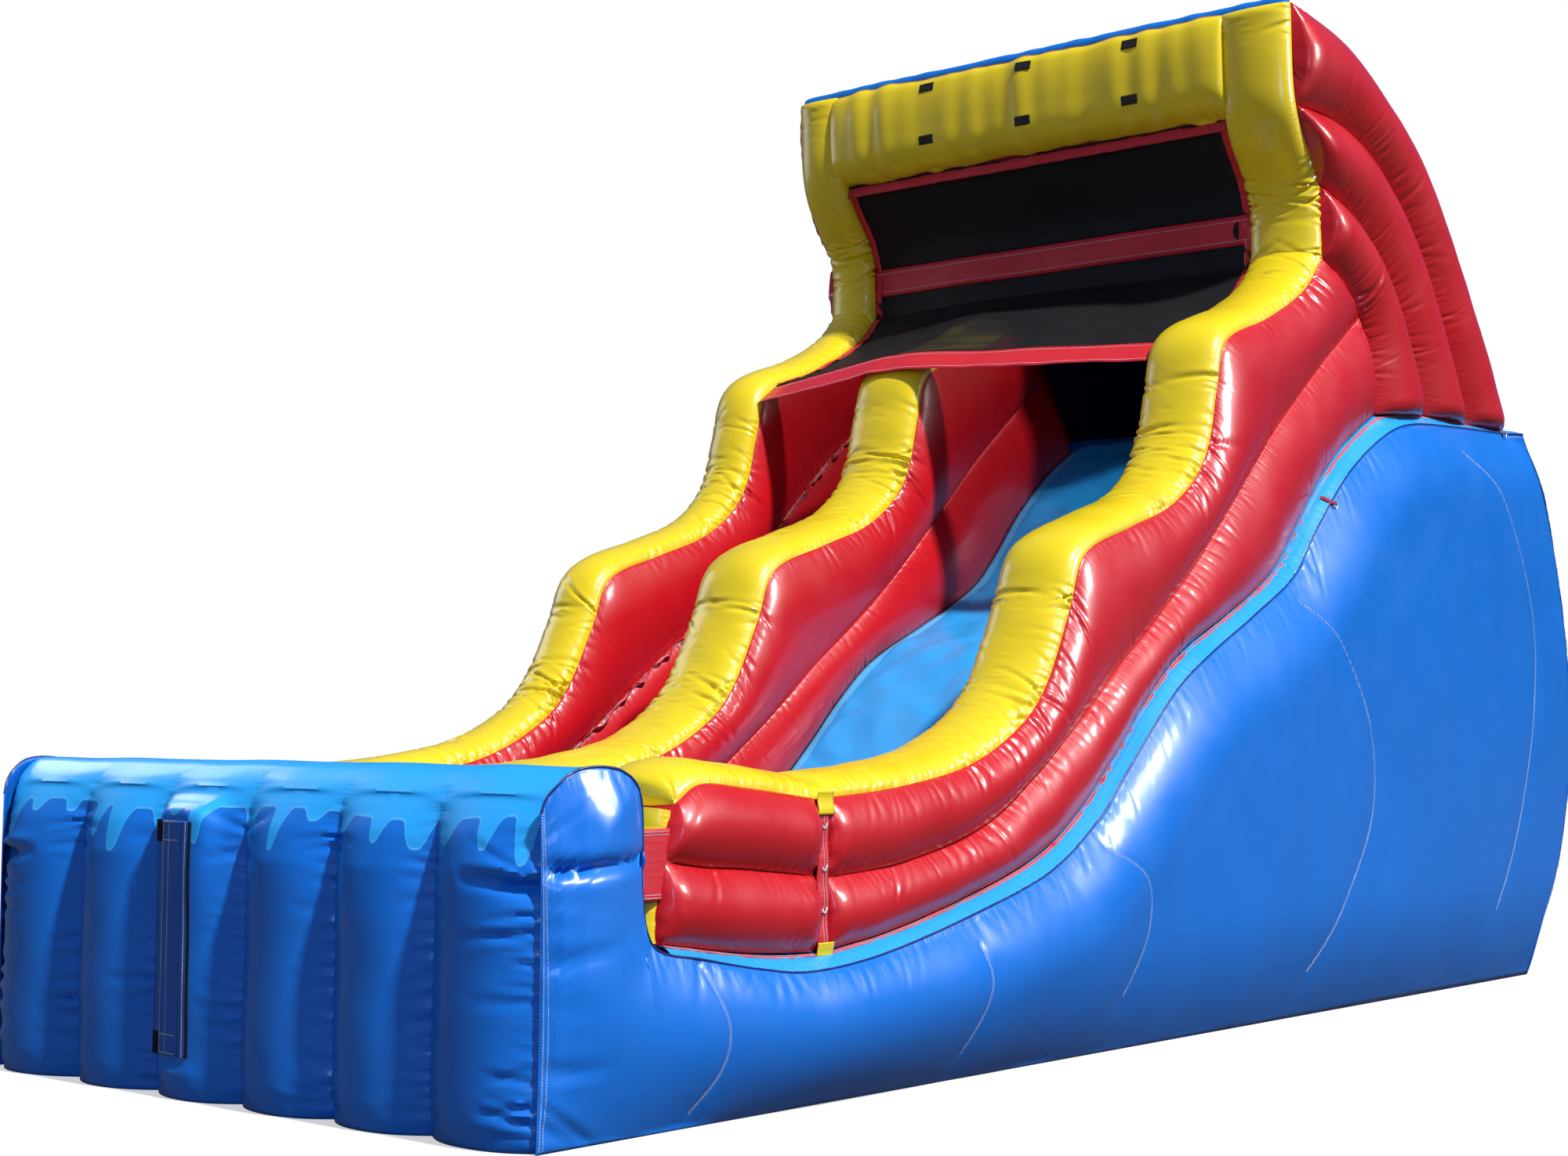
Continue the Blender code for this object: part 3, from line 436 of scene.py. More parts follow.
# %% Bolsters and caps
station = 0.0095
side_columns = 20
wall_swell, outer_swell, pool_swell = 0.055, 0.075, 0.085
crown_columns = 34
cap_crown = 0.10
side_fullness, crown_fullness, crown_reach = 0.72, 0.8, 0.42


def wall_side(low, high, x, out, swell, seed, ends, powers, rise):
    """One side of a bolster, from its low seam to its high one. At share v of the way up the point is
    low + (high - low) v, moved out by swell x sin(pi v)^side_fullness x pinch, with folds from all four edges."""
    v = (1 - np.cos(np.pi * np.linspace(0, 1, side_columns))) / 2
    middle = low[:, None] + (high - low)[:, None] * v[None, :, None]
    run = run_of((low + high) / 2)
    pinch = np.minimum(end_pinch(run, rise, least=ends[0]), end_pinch(run, least=ends[1]))
    x_grid = x + out * swell * np.sin(np.pi * v)[None] ** side_fullness * pinch[:, None]
    grid = np.dstack([x_grid, middle])
    width = np.linalg.norm(high - low, axis=1)[:, None]
    up, down = width * v, width * (1 - v)
    along = np.broadcast_to(run[:, None], up.shape)
    bump = folds(along, up, powers[0] * gather(low, -1), seed, reach=fold_reach)
    bump += folds(along, down, powers[1] * gather(high, 1), seed + 1, reach=fold_reach)
    for k, off in enumerate((along, run[-1] - along)):
        bump += folds(up.T, off.T, np.full(side_columns, 0.9), seed + 2 + k, spacing=0.05, reach=0.22).T
    bump += unevenness(along, up, seed + 4, size=0.0015, shortest=0.25, longest=1.2)
    seam = fading(np.minimum(up, down), 0.12) ** 2
    return pushed(grid, out * bump * np.clip(np.minimum(up, down) / 0.012, 0.1, 1)), seam


def bolster_piece(node, low, high, left, right, seed, swells=(wall_swell, wall_swell), domes=(0.0, 0.0),
                  crown=None, powers=(1.0, 1.0), rise=0.10):
    """A red tube: its right side going up, its top, and its left side going down."""
    low, high = (line for line in evenly(station, (low + high) / 2, low, high)[1:])
    ends = tuple(0.35 if bulge else 0.5 for bulge in domes)
    right_side, right_seam = wall_side(low, high, right, 1, swells[1], seed, ends, powers, rise)
    left_side, left_seam = wall_side(low, high, left, -1, swells[0], seed + 7, ends, powers, rise)
    parts, seams = [right_side], [right_seam]
    if crown is not None:
        top, top_seam = crown_strip(high, left, right, crown * end_pinch(run_of(high), 0.9, 0.1, least=0.02), seed + 14)
        parts.append(top[:, 1:-1])
        seams.append(top_seam[:, 1:-1])
    parts.append(left_side[:, ::-1])
    seams.append(left_seam[:, ::-1])
    grid, seam = np.concatenate(parts, axis=1), np.concatenate(seams, axis=1)
    return placed(tube_piece(node, grid, seam, red_vinyl, domes), "red_vinyl", node, fill=0.95)


def crown_strip(line, left, right, crown, seed, power=1.0):
    """A half-round strip on a seam line, from right to left. At turn a the point is across the middle by
    half x cos(a) and out from the line by crown x sin(a)^crown_fullness, with folds that run in from both edges."""
    turn = np.linspace(0, math.pi, crown_columns)
    turn = turn - 0.35 * np.sin(2 * turn) / 2
    across = (left + right) / 2 + (right - left) / 2 * np.cos(turn)
    rise = np.broadcast_to(crown, len(line))[:, None] * np.abs(np.sin(turn))[None] ** crown_fullness
    lifted = line[:, None] + square_to(line)[:, None] * rise[..., None]
    grid = np.dstack([np.broadcast_to(across, lifted.shape[:2]), lifted])
    off = run_of(np.column_stack([across, rise.max(axis=0)]))
    along = np.broadcast_to(run_of(line)[:, None], lifted.shape[:2])
    near, far = np.broadcast_to(off, along.shape), np.broadcast_to(off[-1] - off, along.shape)
    strength = power * gather(line, 1, base=0.3, gain=0.9)
    bump = sum(folds(along, off, strength, seed + k, spacing=0.042, reach=crown_reach, depth=0.030, width=0.0095)
               for k, off in enumerate((near, far)))
    bump += folds(along, np.abs(near - off[-1] / 2), strength * 0.8, seed + 2, spacing=0.06, reach=0.2, depth=0.018)
    bump += unevenness(along, near, seed + 3, size=0.0018, shortest=0.2, longest=1.0)
    edge = np.minimum(near, far)
    return pushed(grid, bump * np.clip(edge / 0.015, 0.1, 1)), fading(edge, 0.13) ** 2


def cap_piece(node, line, left, right, seed, domes=(0.0, 0.0)):
    """A yellow half-round tube on its seam line."""
    (line,) = evenly(station, line)
    grid, seam = crown_strip(line, left, right, cap_crown, seed)
    ends = end_pinch(run_of(line), 0.08, 0.05, least=0.55)
    base = np.dstack([grid[..., :1], np.broadcast_to(line[:, None], (*grid.shape[:2], 2))])
    grid = base + (grid - base) * ends[:, None, None]
    return placed(tube_piece(node, grid, seam, yellow_vinyl, domes), "yellow_vinyl", node, fill=0.95)


# %% The three walls and the landing's wall
wall_outer = 1.73
right_inner, left_inner = 1.30, -1.40
mid_left, mid_right = -0.645, -0.195
mid_stop = 14 * curve_steps + 1
walls = (
    ("left", -wall_outer, left_inner, len(cap_line), len(post_line), 100),
    ("mid", mid_left, mid_right, mid_stop, mid_stop, 200),
    ("right", right_inner, wall_outer, len(cap_line), len(post_line), 300),
)
for name, left, right, wall_stop, cap_stop, seed in walls:
    ends = (0.006 if name == "right" else 0.03, 0.05 if name == "mid" else 0.0)
    swells = tuple(outer_swell if side == name else wall_swell for side in ("left", "right"))
    bolster_piece(name + "_lower_bolster", bed_line[:wall_stop], seam_line[:wall_stop], left, right, seed, swells, ends)
    bolster_piece(name + "_upper_bolster", seam_line[:wall_stop], cap_line[:wall_stop], left, right, seed + 30, swells,
                  ends)
    cap_piece(name + "_wall_cap", post_line[:cap_stop], left, right, seed + 60,
              (0.03, 0.05 if name == "mid" else 0.012))
pool_ends = (0.03, 0.006)
pool_swells = (wall_swell, pool_swell)
bolster_piece("pool_lower_bolster", pool_bed_line, pool_seam_line, right_inner, wall_outer, 400, pool_swells, pool_ends)
bolster_piece("pool_upper_bolster", pool_seam_line, pool_cap_line, right_inner, wall_outer, 430, pool_swells, pool_ends)
cap_piece("pool_cap", pool_cap_line, right_inner, wall_outer, 460, pool_ends)
print("walls made")

# %% [markdown]
# ## Tower
# Three fat columns fan out on each side of the platform, from the posts down to the deck. Only their outer
# sides are free to swell a lot. The outermost one also has a rounded back.

# %% Tower columns
tower_swell = 0.14
wall_end = np.array([cap_line[-1], seam_line[-1], bed_line[-1]])
arcs = [smooth(wall_end, 48), *(smooth(arc, 16) for arc in (inner_arc, middle_arc, outer_arc))]
for name, left, right, swells in (("left", -wall_outer, left_inner, (0.09, 0.02)),
                                  ("right", right_inner, wall_outer, (0.02, tower_swell))):
    for number, (low, high) in enumerate(zip(arcs, arcs[1:])):
        steps = np.linspace(0, 1, 97)
        low, high = (at_run(line, run_of(line) / run_of(line)[-1], steps) for line in (low, high))
        bolster_piece(f"{name}_tower_column_{3 - number}", low, high, left, right, 500 + 40 * number + len(name),
                      swells=swells, crown=0.055 if number == 2 else None, powers=(0.9, 0.6),
                      rise=0.12 if name == "right" else 0.8)

# %% [markdown]
# ## Header
# The beam between the posts is one fat tube. Its front is gathered by the seam on its top and the seam under
# it, where the net hangs, so upright folds run in from both.

# %% Header beam
header_front, header_low = 1.207, 4.939
header_depth, header_rise = 0.42, height - header_low
header_shares = np.array(((0.30, 0.00), (0.05, 0.16), (-0.01, 0.46), (0.00, 0.80), (0.10, 0.975), (0.42, 1.01),
                          (0.80, 0.97), (0.97, 0.78), (1.00, 0.42), (0.92, 0.14), (0.66, 0.00)))
header_points = header_shares * [header_depth, header_rise] + [header_front, header_low]
header_ring = smooth(np.vstack([header_points[-3:], header_points, header_points[:3]]), 12)[36 : -24]
header_ends = (left_inner - 0.05, right_inner + 0.05)
header_step, ring_step = 0.0095, 0.014


def header_grid():
    """Rings of the beam's outline at even steps of x. Each ring's point is off the top and bottom seams by
    its distance round the outline, and the folds of both seams push it in."""
    (ring,) = evenly(ring_step, header_ring)
    ring = ring[:-1]
    x = np.arange(header_ends[0], header_ends[1] + 0.001, header_step)
    grid = np.dstack([np.broadcast_to(x[:, None], (len(x), len(ring))), np.broadcast_to(ring, (len(x), *ring.shape))])
    run = run_of(ring)
    total = run[-1] + np.linalg.norm(ring[0] - ring[-1])
    bump = np.zeros(grid.shape[:2])
    seam = np.zeros(grid.shape[:2])
    along = np.broadcast_to(x[:, None], bump.shape)
    for number, place in enumerate((5, 0)):
        seam_run = run[np.argmin(np.linalg.norm(ring - header_points[place], axis=1))]
        off = np.abs((run - seam_run + total / 2) % total - total / 2)
        off = np.broadcast_to(off, bump.shape)
        power = 0.75 + 0.25 * np.sin(x * 5 + number)
        bump += folds(along, off, power, 700 + number, spacing=0.075, reach=0.27, depth=0.009, width=0.015, lean=0.55)
        seam = np.maximum(seam, fading(off, 0.14) ** 2)
    bump += unevenness(along, np.broadcast_to(run, bump.shape) * 0.12, 710, size=0.005, shortest=0.16, longest=0.6)
    grid = pushed(grid, bump, closed=True)
    middle = grid.mean(axis=1, keepdims=True)
    thin, low = end_pinch(x - x[0], 0.12, 0.12, least=0.84), end_pinch(x - x[0], 0.12, 0.12, least=0.97)
    return middle + (grid - middle) * np.stack([np.ones(len(x)), thin, low], axis=-1)[:, None], seam


header, header_seam = header_grid()
placed(tube_piece("header_beam", header, header_seam, yellow_vinyl), "yellow_vinyl", "header_beam", fill=0.95)

# %% [markdown]
# ## Base chamber
# The blue base is one large chamber. Its side panels swell outwards and lean, baffles inside hold them back
# along stitched lines, and the bumper at the front and the panel at the rear are made of upright columns.

# %% Side panels
bumper_height, bumper_depth = 1.37, 0.46
panel_front = np.array(((0.00, 0.88), (0.06, 0.93), (0.25, 0.985), (0.50, 1.00), (0.78, 0.985), (0.96, 0.93),
                        (1.00, 0.80), (0.99, 0.65), (1.14, 0.51))) * [bumper_depth, bumper_height] + [front, 0]
panel_rear = in_metres(((0.091, 0.116), (0.130, 0.105), (0.164, 0.100), (0.216, 0.107), (0.287, 0.129),
                        (0.357, 0.158), (0.403, 0.197), (0.435, 0.240), (0.485, 0.308), (0.526, 0.345),
                        (0.576, 0.382), (0.626, 0.423), (0.657, 0.472), (0.700, 0.532), (0.747, 0.575),
                        (0.791, 0.597), (0.865, 0.606), (0.965, 0.613)))
panel_top = smooth(np.vstack([panel_front, panel_rear]), 12)
panel_fade = (0.0, 0.05), (0.05, 0.30), (0.14, 0.48), (0.3, 0.6), (0.6, 0.66), (1.5, 1.0), (6.9, 1.0), (8.3, 0.8)
panel_fade = np.array(panel_fade).T + [[front], [0]]
panel_lean, panel_swell, edge_swell, edge_reach, foot_reach = 0.11, 0.035, 0.142, 0.42, 0.62
# Height by which a panel's section is scaled: the upper edge, but smooth over the notch behind the bumper
section_top = np.array(((-0.5, 1.36), (0.1, 1.35), (0.3, 1.22), (0.5, 0.98), (0.75, 0.72), (0.95, 0.625))) + [front, 0]
section_top = np.vstack([smooth(section_top, 8), panel_top[panel_top[:, 0] > front + 1.0]])
rear_rows = (0.0, 0.11, 0.25, 0.42, 0.60, 0.78, 0.92, 1.0)
rear_lean, rear_swell = (0.0, 0.0, 0.15, 0.33, 0.52, 0.72, 0.90, 1.0), (0.0, 0.0, 0.60, 0.97, 0.95, 0.62, 0.24, 0.0)
deck_end = deck_line[-1]


def rear_y(row):
    """y of the rear panel at a row, 0 on the ground and 1 at the top: it leans in and swells out."""
    lean, swell = (smooth(np.column_stack([rear_rows, table]), 12) for table in (rear_lean, rear_swell))
    return rear + (deck_end[0] + 0.0123 - rear) * np.interp(row, *lean.T) + 0.42 * np.interp(row, *swell.T)


def distance_to(line, y, z):
    """Distance of each (y, z) from a line's nearest segment."""
    best = np.full(y.shape, 1e9)
    for (y0, z0), (y1, z1) in zip(line, line[1:]):
        dy, dz = y1 - y0, z1 - z0
        share = np.clip(((y - y0) * dy + (z - z0) * dz) / (dy * dy + dz * dz), 0, 1)
        best = np.minimum(best, np.hypot(y - y0 - share * dy, z - z0 - share * dz))
    return best


def panel_half(y, row):
    """Outer half-width: half_width + fade(y) x (lean x s + swell x (1 - |2 s - 1|^3) + round). s is the height as a
    share of section_top. round is edge_swell x (1 - (1 - e)^2) x (1 - (1 - f)^2), with e the distance from the upper
    edge over edge_reach, and f the height over foot_reach."""
    y, row = np.broadcast_arrays(np.asarray(y, float), row)
    z = row * np.interp(y, *panel_top.T)
    s = np.clip(z / np.interp(y, *section_top.T), 0, 1)
    e = np.clip(distance_to(panel_top[::5], y, z) / edge_reach, 0, 1)
    f = np.clip(z / foot_reach, 0, 1)
    rounded = edge_swell * (1 - (1 - e) ** 2) * (1 - (1 - f) ** 2)
    return half_width + np.interp(y, *panel_fade) * (panel_lean * s + panel_swell * (1 - np.abs(2 * s - 1) ** 3)
                                                     + rounded)


def panel_follow(y, row):
    """How far the panel's points move back towards the rear panel's bulge."""
    last = panel_top[-1][0]
    follow = np.clip((y - front - 0.70 * length) / (last - front - 0.70 * length), 0, 1)
    return follow**2 * (rear_y(row) - rear_y(np.array([1.0])))


# Stitched lines where the inner baffles hold the panel, as (y, z)
stitch_lines = [np.array(line) - [length / 2, 0] for line in (
    ((0.77, 0.60), (0.87, 0.38), (0.86, 0.21), (0.77, 0.06)),
    ((2.46, 0.60), (2.51, 0.40), (2.43, 0.12)),
    ((3.45, 0.98), (3.72, 0.82), (3.77, 0.60), (3.65, 0.28)),
    ((5.34, 2.20), (5.70, 1.95), (6.04, 1.53), (6.09, 1.06), (5.76, 0.56), (5.49, 0.25)),
    ((7.36, 3.18), (7.85, 2.92), (8.29, 2.27), (8.33, 1.68), (8.12, 0.96), (7.82, 0.45)),
)]
stitch_lines = [smooth(line, 10) for line in stitch_lines]


def side_panel_grid():
    """The right panel: rows along its upper edge, columns from the ground up, with folds below the upper edge
    and at the front corner, and a shallow valley along each stitched line. A row's foot lies at the mean y of the
    edge near it, so that the rows don't cross under the notch."""
    (top,) = evenly(0.0135, panel_top)
    share = np.linspace(0, 1, 56)
    row = 0.55 * (1 - np.cos(np.pi * share)) / 2 + 0.45 * share
    nearby = 26
    mean = np.full(2 * nearby + 1, 1 / (2 * nearby + 1))
    foot = np.convolve(np.pad(top[:, 0], nearby, mode="reflect", reflect_type="odd"), mean, mode="valid")
    y = foot[:, None] + (top[:, 0] - foot)[:, None] * (row**2 * (3 - 2 * row))[None]
    rows = np.broadcast_to(row, y.shape)
    z = rows * top[:, 1:]
    grid = np.dstack([panel_half(y, z / np.interp(y, *panel_top.T)), y + panel_follow(y, rows), z])
    run = np.broadcast_to(run_of(top)[:, None], y.shape)
    down, up = (1 - rows) * top[:, 1:], rows * top[:, 1:]
    bend = np.abs(bend_of(top))
    strength = np.clip(0.35 + 0.35 * bend, 0, 1.4) * np.where(run_of(top) > 1.0, 1, 0.35)
    bump = folds(run, down, strength, 800, spacing=0.06, reach=0.34, depth=0.020, width=0.013)
    bump += folds(run, up, np.full(len(top), 0.5), 801, spacing=0.08, reach=0.22, depth=0.008)
    from_corner = y - front
    bump += folds(up.T, from_corner.T, np.full(len(row), 0.9), 802, spacing=0.085, reach=0.5, depth=0.026,
                  width=0.018).T
    for level, tilt, deep, far in ((1.0, 0.06, 0.07, 0.66), (0.66, 0.2, 0.024, 0.35), (0.30, -0.1, 0.018, 0.3)):
        crease = np.exp(-(((up - level - tilt * from_corner) / 0.022) ** 2))
        bump -= deep * crease * fading(from_corner, far)
    for line in stitch_lines:
        off = distance_to(line, grid[..., 1], grid[..., 2])
        bump -= 0.004 * np.exp(-((off / 0.012) ** 2)) + 0.007 * np.exp(-((off / 0.11) ** 2))
    bump += unevenness(run, up, 803, size=0.003, shortest=0.6, longest=2.2)
    bump = bump * np.clip(np.minimum(np.minimum(down, up) / 0.02, from_corner / 0.04), 0, 1)
    seam = fading(np.minimum(np.minimum(down, up), from_corner), 0.13) ** 2
    return pushed(grid, bump), seam


panel_grid, panel_seam = side_panel_grid()


def mirrored(grid):
    """The same surface on the left: x changes sign, and the columns turn round so that it still faces out."""
    return (grid * [-1, 1, 1])[:, ::-1]


for side, grid, seam in (("right", panel_grid, panel_seam), ("left", mirrored(panel_grid), panel_seam[:, ::-1])):
    piece = grid_piece(side + "_side_panel_vinyl", grid, blue_vinyl, marks={"seam": seam}, thickness=0.004)
    placed(piece, "blue_vinyl", side + "_side_panel")

# %% Stop bumper
body_half = 1.70
landing_height = pool_bed_line[0][1]
bumper_points = np.array(((0.00, 0.00), (0.00, 0.09), (0.00, 0.85), (0.06, 0.93), (0.25, 0.985), (0.50, 1.00),
                          (0.78, 0.985), (0.96, 0.93), (1.00, 0.85), (1.00, 0.66))) * [bumper_depth, bumper_height]
bumper_points = np.vstack([bumper_points, [1.06 * bumper_depth, landing_height]]) + [front, 0]
bumper_round = np.array(((0.02, 0.00), (-0.01, 0.10), (0.0, 0.5), (0.015, 0.72), (0.06, 0.84), (0.22, 0.945),
                         (0.5, 1.0), (0.78, 0.975), (0.95, 0.91), (0.97, 0.80),
                         (0.95, 0.66))) * [bumper_depth, bumper_height]
bumper_round = np.vstack([bumper_round, [1.06 * bumper_depth, landing_height]]) + [front, 0]
bumper_swells = (0, 0.1, 0.80, 1.02, 1.16, 1.24, 1.30, 1.35), (0.9, 1.0, 1.0, 0.94, 0.60, 0.30, 0.09, 0.0)
bumper_columns = 6
port_x, port_low, port_high = -0.354, 0.16, 1.12
column_swell, port_swell, column_valley = 0.115, 0.070, 0.030


def drip_edge(x):
    """Height of the light-blue border's lower edge on the front: smooth rounded drips of uneven length."""
    rng = np.random.default_rng(5)
    edge = 1.225 + 0.018 * np.sin(x * 4.1 + 0.6)
    for place in np.arange(-1.62, 1.72, 0.205):
        centre = place + rng.uniform(-0.04, 0.04)
        drop, wide = rng.uniform(0.05, 0.20), rng.uniform(0.036, 0.056)
        edge = edge - drop * np.exp(-(np.abs((x - centre) / wide) ** 3.2))
    return edge


def bumper_grid():
    """Rows run up the front, over the top and down the back, columns run from right to left. A column's point
    moves out by swell x (1 - |s|^2.3), with s from -1 to 1 across the column, and both outer columns flare to meet
    the side panels. Around the port it is flat, as in the solid, so that the flap lies on it."""
    outline = smooth(bumper_points, 12)
    run = run_of(outline)
    wanted = np.linspace(0, run[-1], 150)
    outline = at_run(outline, run, wanted)
    swells = np.interp(outline[:, 1], *bumper_swells) * (outline[:, 0] < front + bumper_depth / 2)
    rounder = smooth(bumper_round, 12)
    rounder = at_run(rounder, run_of(rounder), wanted / run[-1] * run_of(rounder)[-1])
    face = square_to(outline)
    face[0], face[-1] = (-1, 0), (1, 0)
    u = np.linspace(bumper_columns, 0, bumper_columns * 44 + 1)
    x = (u / bumper_columns * 2 - 1) * body_half
    amount = 1 - np.abs(2 * (u % 1) - 1) ** 2.3

    def by_port(wide, edge, fade, last):
        """1 around the port and 0 away from it, with smooth edges."""
        level = np.minimum((outline[:, 1] - port_low) / 0.06, (port_high - outline[:, 1]) / fade)
        share = np.clip(wide - np.abs(x - port_x) / edge, 0, 1)[None] * np.clip(1 + level, 0, 1)[:, None]
        share = share * (wanted < last)[:, None]
        return share**2 * (3 - 2 * share)

    near_port, beside_port = by_port(1.6, 0.09, 0.13, 1.3), by_port(2.6, 0.105, 0.17, 1.45)
    # The solid's flat face there, as a share of the swelling
    flat = 0.7071 + (x + 0.42500) / 0.14167 * 0.2929
    amount = amount[None] * (1 - near_port) + np.clip(flat, 0, 1.2)[None] * near_port
    reach = body_half * (1 - 2 / bumper_columns)
    end_share = np.sign(x) * np.clip((np.abs(x) - reach) / (body_half - reach), 0, 1)
    row = np.clip(outline[:, 1] / np.interp(outline[:, 0], *panel_top.T), 0, 1)
    flare = panel_half(outline[:, 0], row) - 0.002 - body_half
    x_grid = x[None] + end_share[None] * flare[:, None]
    swelling = amount * (column_swell + (port_swell - column_swell) * near_port) - column_valley * (1 - near_port)
    base = rounder[:, None] * (1 - beside_port[..., None]) + outline[:, None] * beside_port[..., None]
    fullness = swells[:, None] * (1 - beside_port) + beside_port
    line = base + face[:, None] * (swelling * fullness)[..., None]
    grid = np.dstack([x_grid, line])
    along = np.broadcast_to(wanted[:, None], x_grid.shape)
    bump = np.zeros(x_grid.shape)
    seam = np.zeros(x_grid.shape)
    for number in range(bumper_columns + 1):
        off = np.abs(x - (number / bumper_columns * 2 - 1) * body_half)
        off = np.broadcast_to(off, x_grid.shape)
        corner = number in (0, bumper_columns)
        power = np.interp(wanted, (0, 0.1, 1.12, 1.32, 2.6), (0.4, 1.0, 1.0, 0.12, 0.12)) * (1.3 if corner else 1.0)
        bump += folds(along, off, power, 830 + number, spacing=0.045, reach=0.42 if corner else 0.26,
                      depth=0.026 if corner else 0.024, width=0.013, lean=0.2)
        if corner:
            across = (along - 0.98 - 0.1 * off) / 0.028
            crease = 0.03 * np.exp(-((across - 1.8) ** 2)) - 0.06 * np.exp(-(across**2))
            bump += crease * fading(off, 0.36)
        seam = np.maximum(seam, fading(off, 0.12) ** 2)
    bump += unevenness(along, x_grid, 840, size=0.0018, shortest=0.3, longest=1.0) * (1 - near_port)
    bump *= (1 - near_port) * np.clip((body_half - np.abs(x)) / 0.04, 0, 1)
    border = np.where(wanted[:, None] < 1.55, outline[:, 1:] - drip_edge(x)[None], 0.1)
    border = np.where(wanted[:, None] > 2.25, -0.1, border)
    return pushed(grid, bump), seam, border, x


bumper, bumper_seam, bumper_border, bumper_x = bumper_grid()


def dripped(tree, base):
    """Light blue above the border's edge, with a thin pale outline along it."""
    over = marked(tree, "border")
    inside = rescaled(tree, over, -0.0015, 0.0015, 0.0, 1.0)
    outline = rescaled(tree, maths(tree, "ABSOLUTE", over), 0.004, 0.006, 1.0, 0.0)
    painted = blended(tree, inside, base, (0.02, 0.41, 0.97, 1))
    return blended(tree, maths(tree, "MULTIPLY", outline, 0.55), painted, (0.14, 0.57, 0.97, 1))


bumper_vinyl = vinyl("bumper_vinyl", blue_colour, paint=dripped)
piece = grid_piece("front_bumper_vinyl", bumper, bumper_vinyl, marks={"seam": bumper_seam, "border": bumper_border},
                   thickness=0.004)
placed(piece, "blue_vinyl", "front_bumper")

# %% Rear panel
def rear_panel_grid():
    """Rows run up, columns run from left to right. Each upright column swells by
    0.06 x rear_swell(row) x |sin(pi u)|^0.8."""
    rear_top = panel_top[-1][1]
    row = np.linspace(0, 1, 150)
    u = np.linspace(0, 6, 6 * 28 + 1)
    swell = np.interp(row, rear_rows, rear_swell)
    half = panel_half(panel_top[-1][0], row)
    y = rear_y(row)[:, None] + 0.06 * swell[:, None] * np.abs(np.sin(np.pi * u))[None] ** 0.8
    z = np.broadcast_to(row[:, None] * rear_top, y.shape)
    x = half[:, None] * (u / 3 - 1)[None]
    grid = np.dstack([x, y, z])
    run = run_of(np.column_stack([rear_y(row), row * rear_top]))
    along = np.broadcast_to(run[:, None], y.shape)
    bump, seam = np.zeros(y.shape), np.zeros(y.shape)
    for number in range(7):
        off = np.abs(x - half[:, None] * (number / 3 - 1))
        bump += folds(along, off, np.full(len(run), 0.9), 860 + number, spacing=0.06, reach=0.2, depth=0.008)
        seam = np.maximum(seam, fading(off, 0.12) ** 2)
    bump += unevenness(along, x, 870, size=0.003)
    edge = np.minimum(along, run[-1] - along)
    return pushed(grid, bump * np.clip(edge / 0.02, 0, 1)), seam


rear_panel, rear_seam = rear_panel_grid()
piece = grid_piece("rear_panel_vinyl", rear_panel, blue_vinyl, marks={"seam": rear_seam}, thickness=0.004)
placed(piece, "blue_vinyl", "rear_panel")

# %% Trim strips
trim_columns = 15


def trim_grid():
    """The right strip, from the panel's upper edge in to the walls' foot: a straight line across, lifted by
    0.012 x sin(pi t), with wrinkles that cross it."""
    start = pool_bed_line[0][0]
    (top,) = evenly(0.0095, panel_top[panel_top[:, 0] >= start])
    y = top[:, 0]
    inner = np.column_stack([np.full(len(y), body_half + 0.0005), y, np.interp(y, *edge_line.T)])
    outer = np.column_stack([panel_half(y, np.ones(len(y))) + 0.004, y, top[:, 1] + 0.004])
    t = np.linspace(0, 1, trim_columns)
    grid = outer[:, None] + (inner - outer)[:, None] * t[None, :, None]
    along = np.broadcast_to(run_of(top)[:, None], grid.shape[:2])
    off = np.broadcast_to(np.linspace(0, 0.14, trim_columns), grid.shape[:2])
    power = np.clip(0.5 + 0.3 * np.abs(bend_of(top)), 0, 1.5)
    bump = folds(along, off, power, 900, spacing=0.036, reach=0.22, depth=0.012, width=0.009, lean=0.2)
    bump += folds(along, 0.14 - off, power * 0.7, 901, spacing=0.07, reach=0.16, depth=0.005)
    bump += 0.012 * np.sin(np.pi * t)[None]
    return pushed(grid, bump * np.sin(np.pi * np.clip(t, 0.04, 0.96)) ** 0.5), outer, inner


trim, trim_outer, trim_inner = trim_grid()
for side, grid in (("right", trim), ("left", mirrored(trim))):
    piece = grid_piece(side + "_trim_strip_vinyl", grid, light_blue_vinyl, marks={"seam": 0.6}, thickness=0.003)
    placed(piece, "light_blue_vinyl", side + "_trim_strip")
print("base chamber made")

# %% [markdown]
# ## Floors
# The landing, the slope and the platform are taut sheets between the side panels. The roof is a shallow air
# mattress between the outermost columns. The base sheet and one inner baffle with its vent are inside.

# %% Beds, base sheet and baffle
bed_half, bed_lanes = body_half - 0.001, 6


def bed_grid(line, puff, seed):
    """Rows along the line, columns from right to left, raised by puff x |sin(pi u bed_lanes)|^0.8."""
    (line,) = evenly(0.04, line)
    u = np.linspace(0, 1, bed_lanes * 12 + 1)
    lift = puff * np.abs(np.sin(np.pi * u * bed_lanes)) ** 0.8
    x = np.broadcast_to(bed_half * (1 - 2 * u), (len(line), len(u)))
    grid = np.dstack([x, np.broadcast_to(line[:, None], (*x.shape, 2))])
    wide = unevenness(x, grid[..., 1], seed, size=0.002)
    grid[..., 2] += lift - puff + wide
    return grid


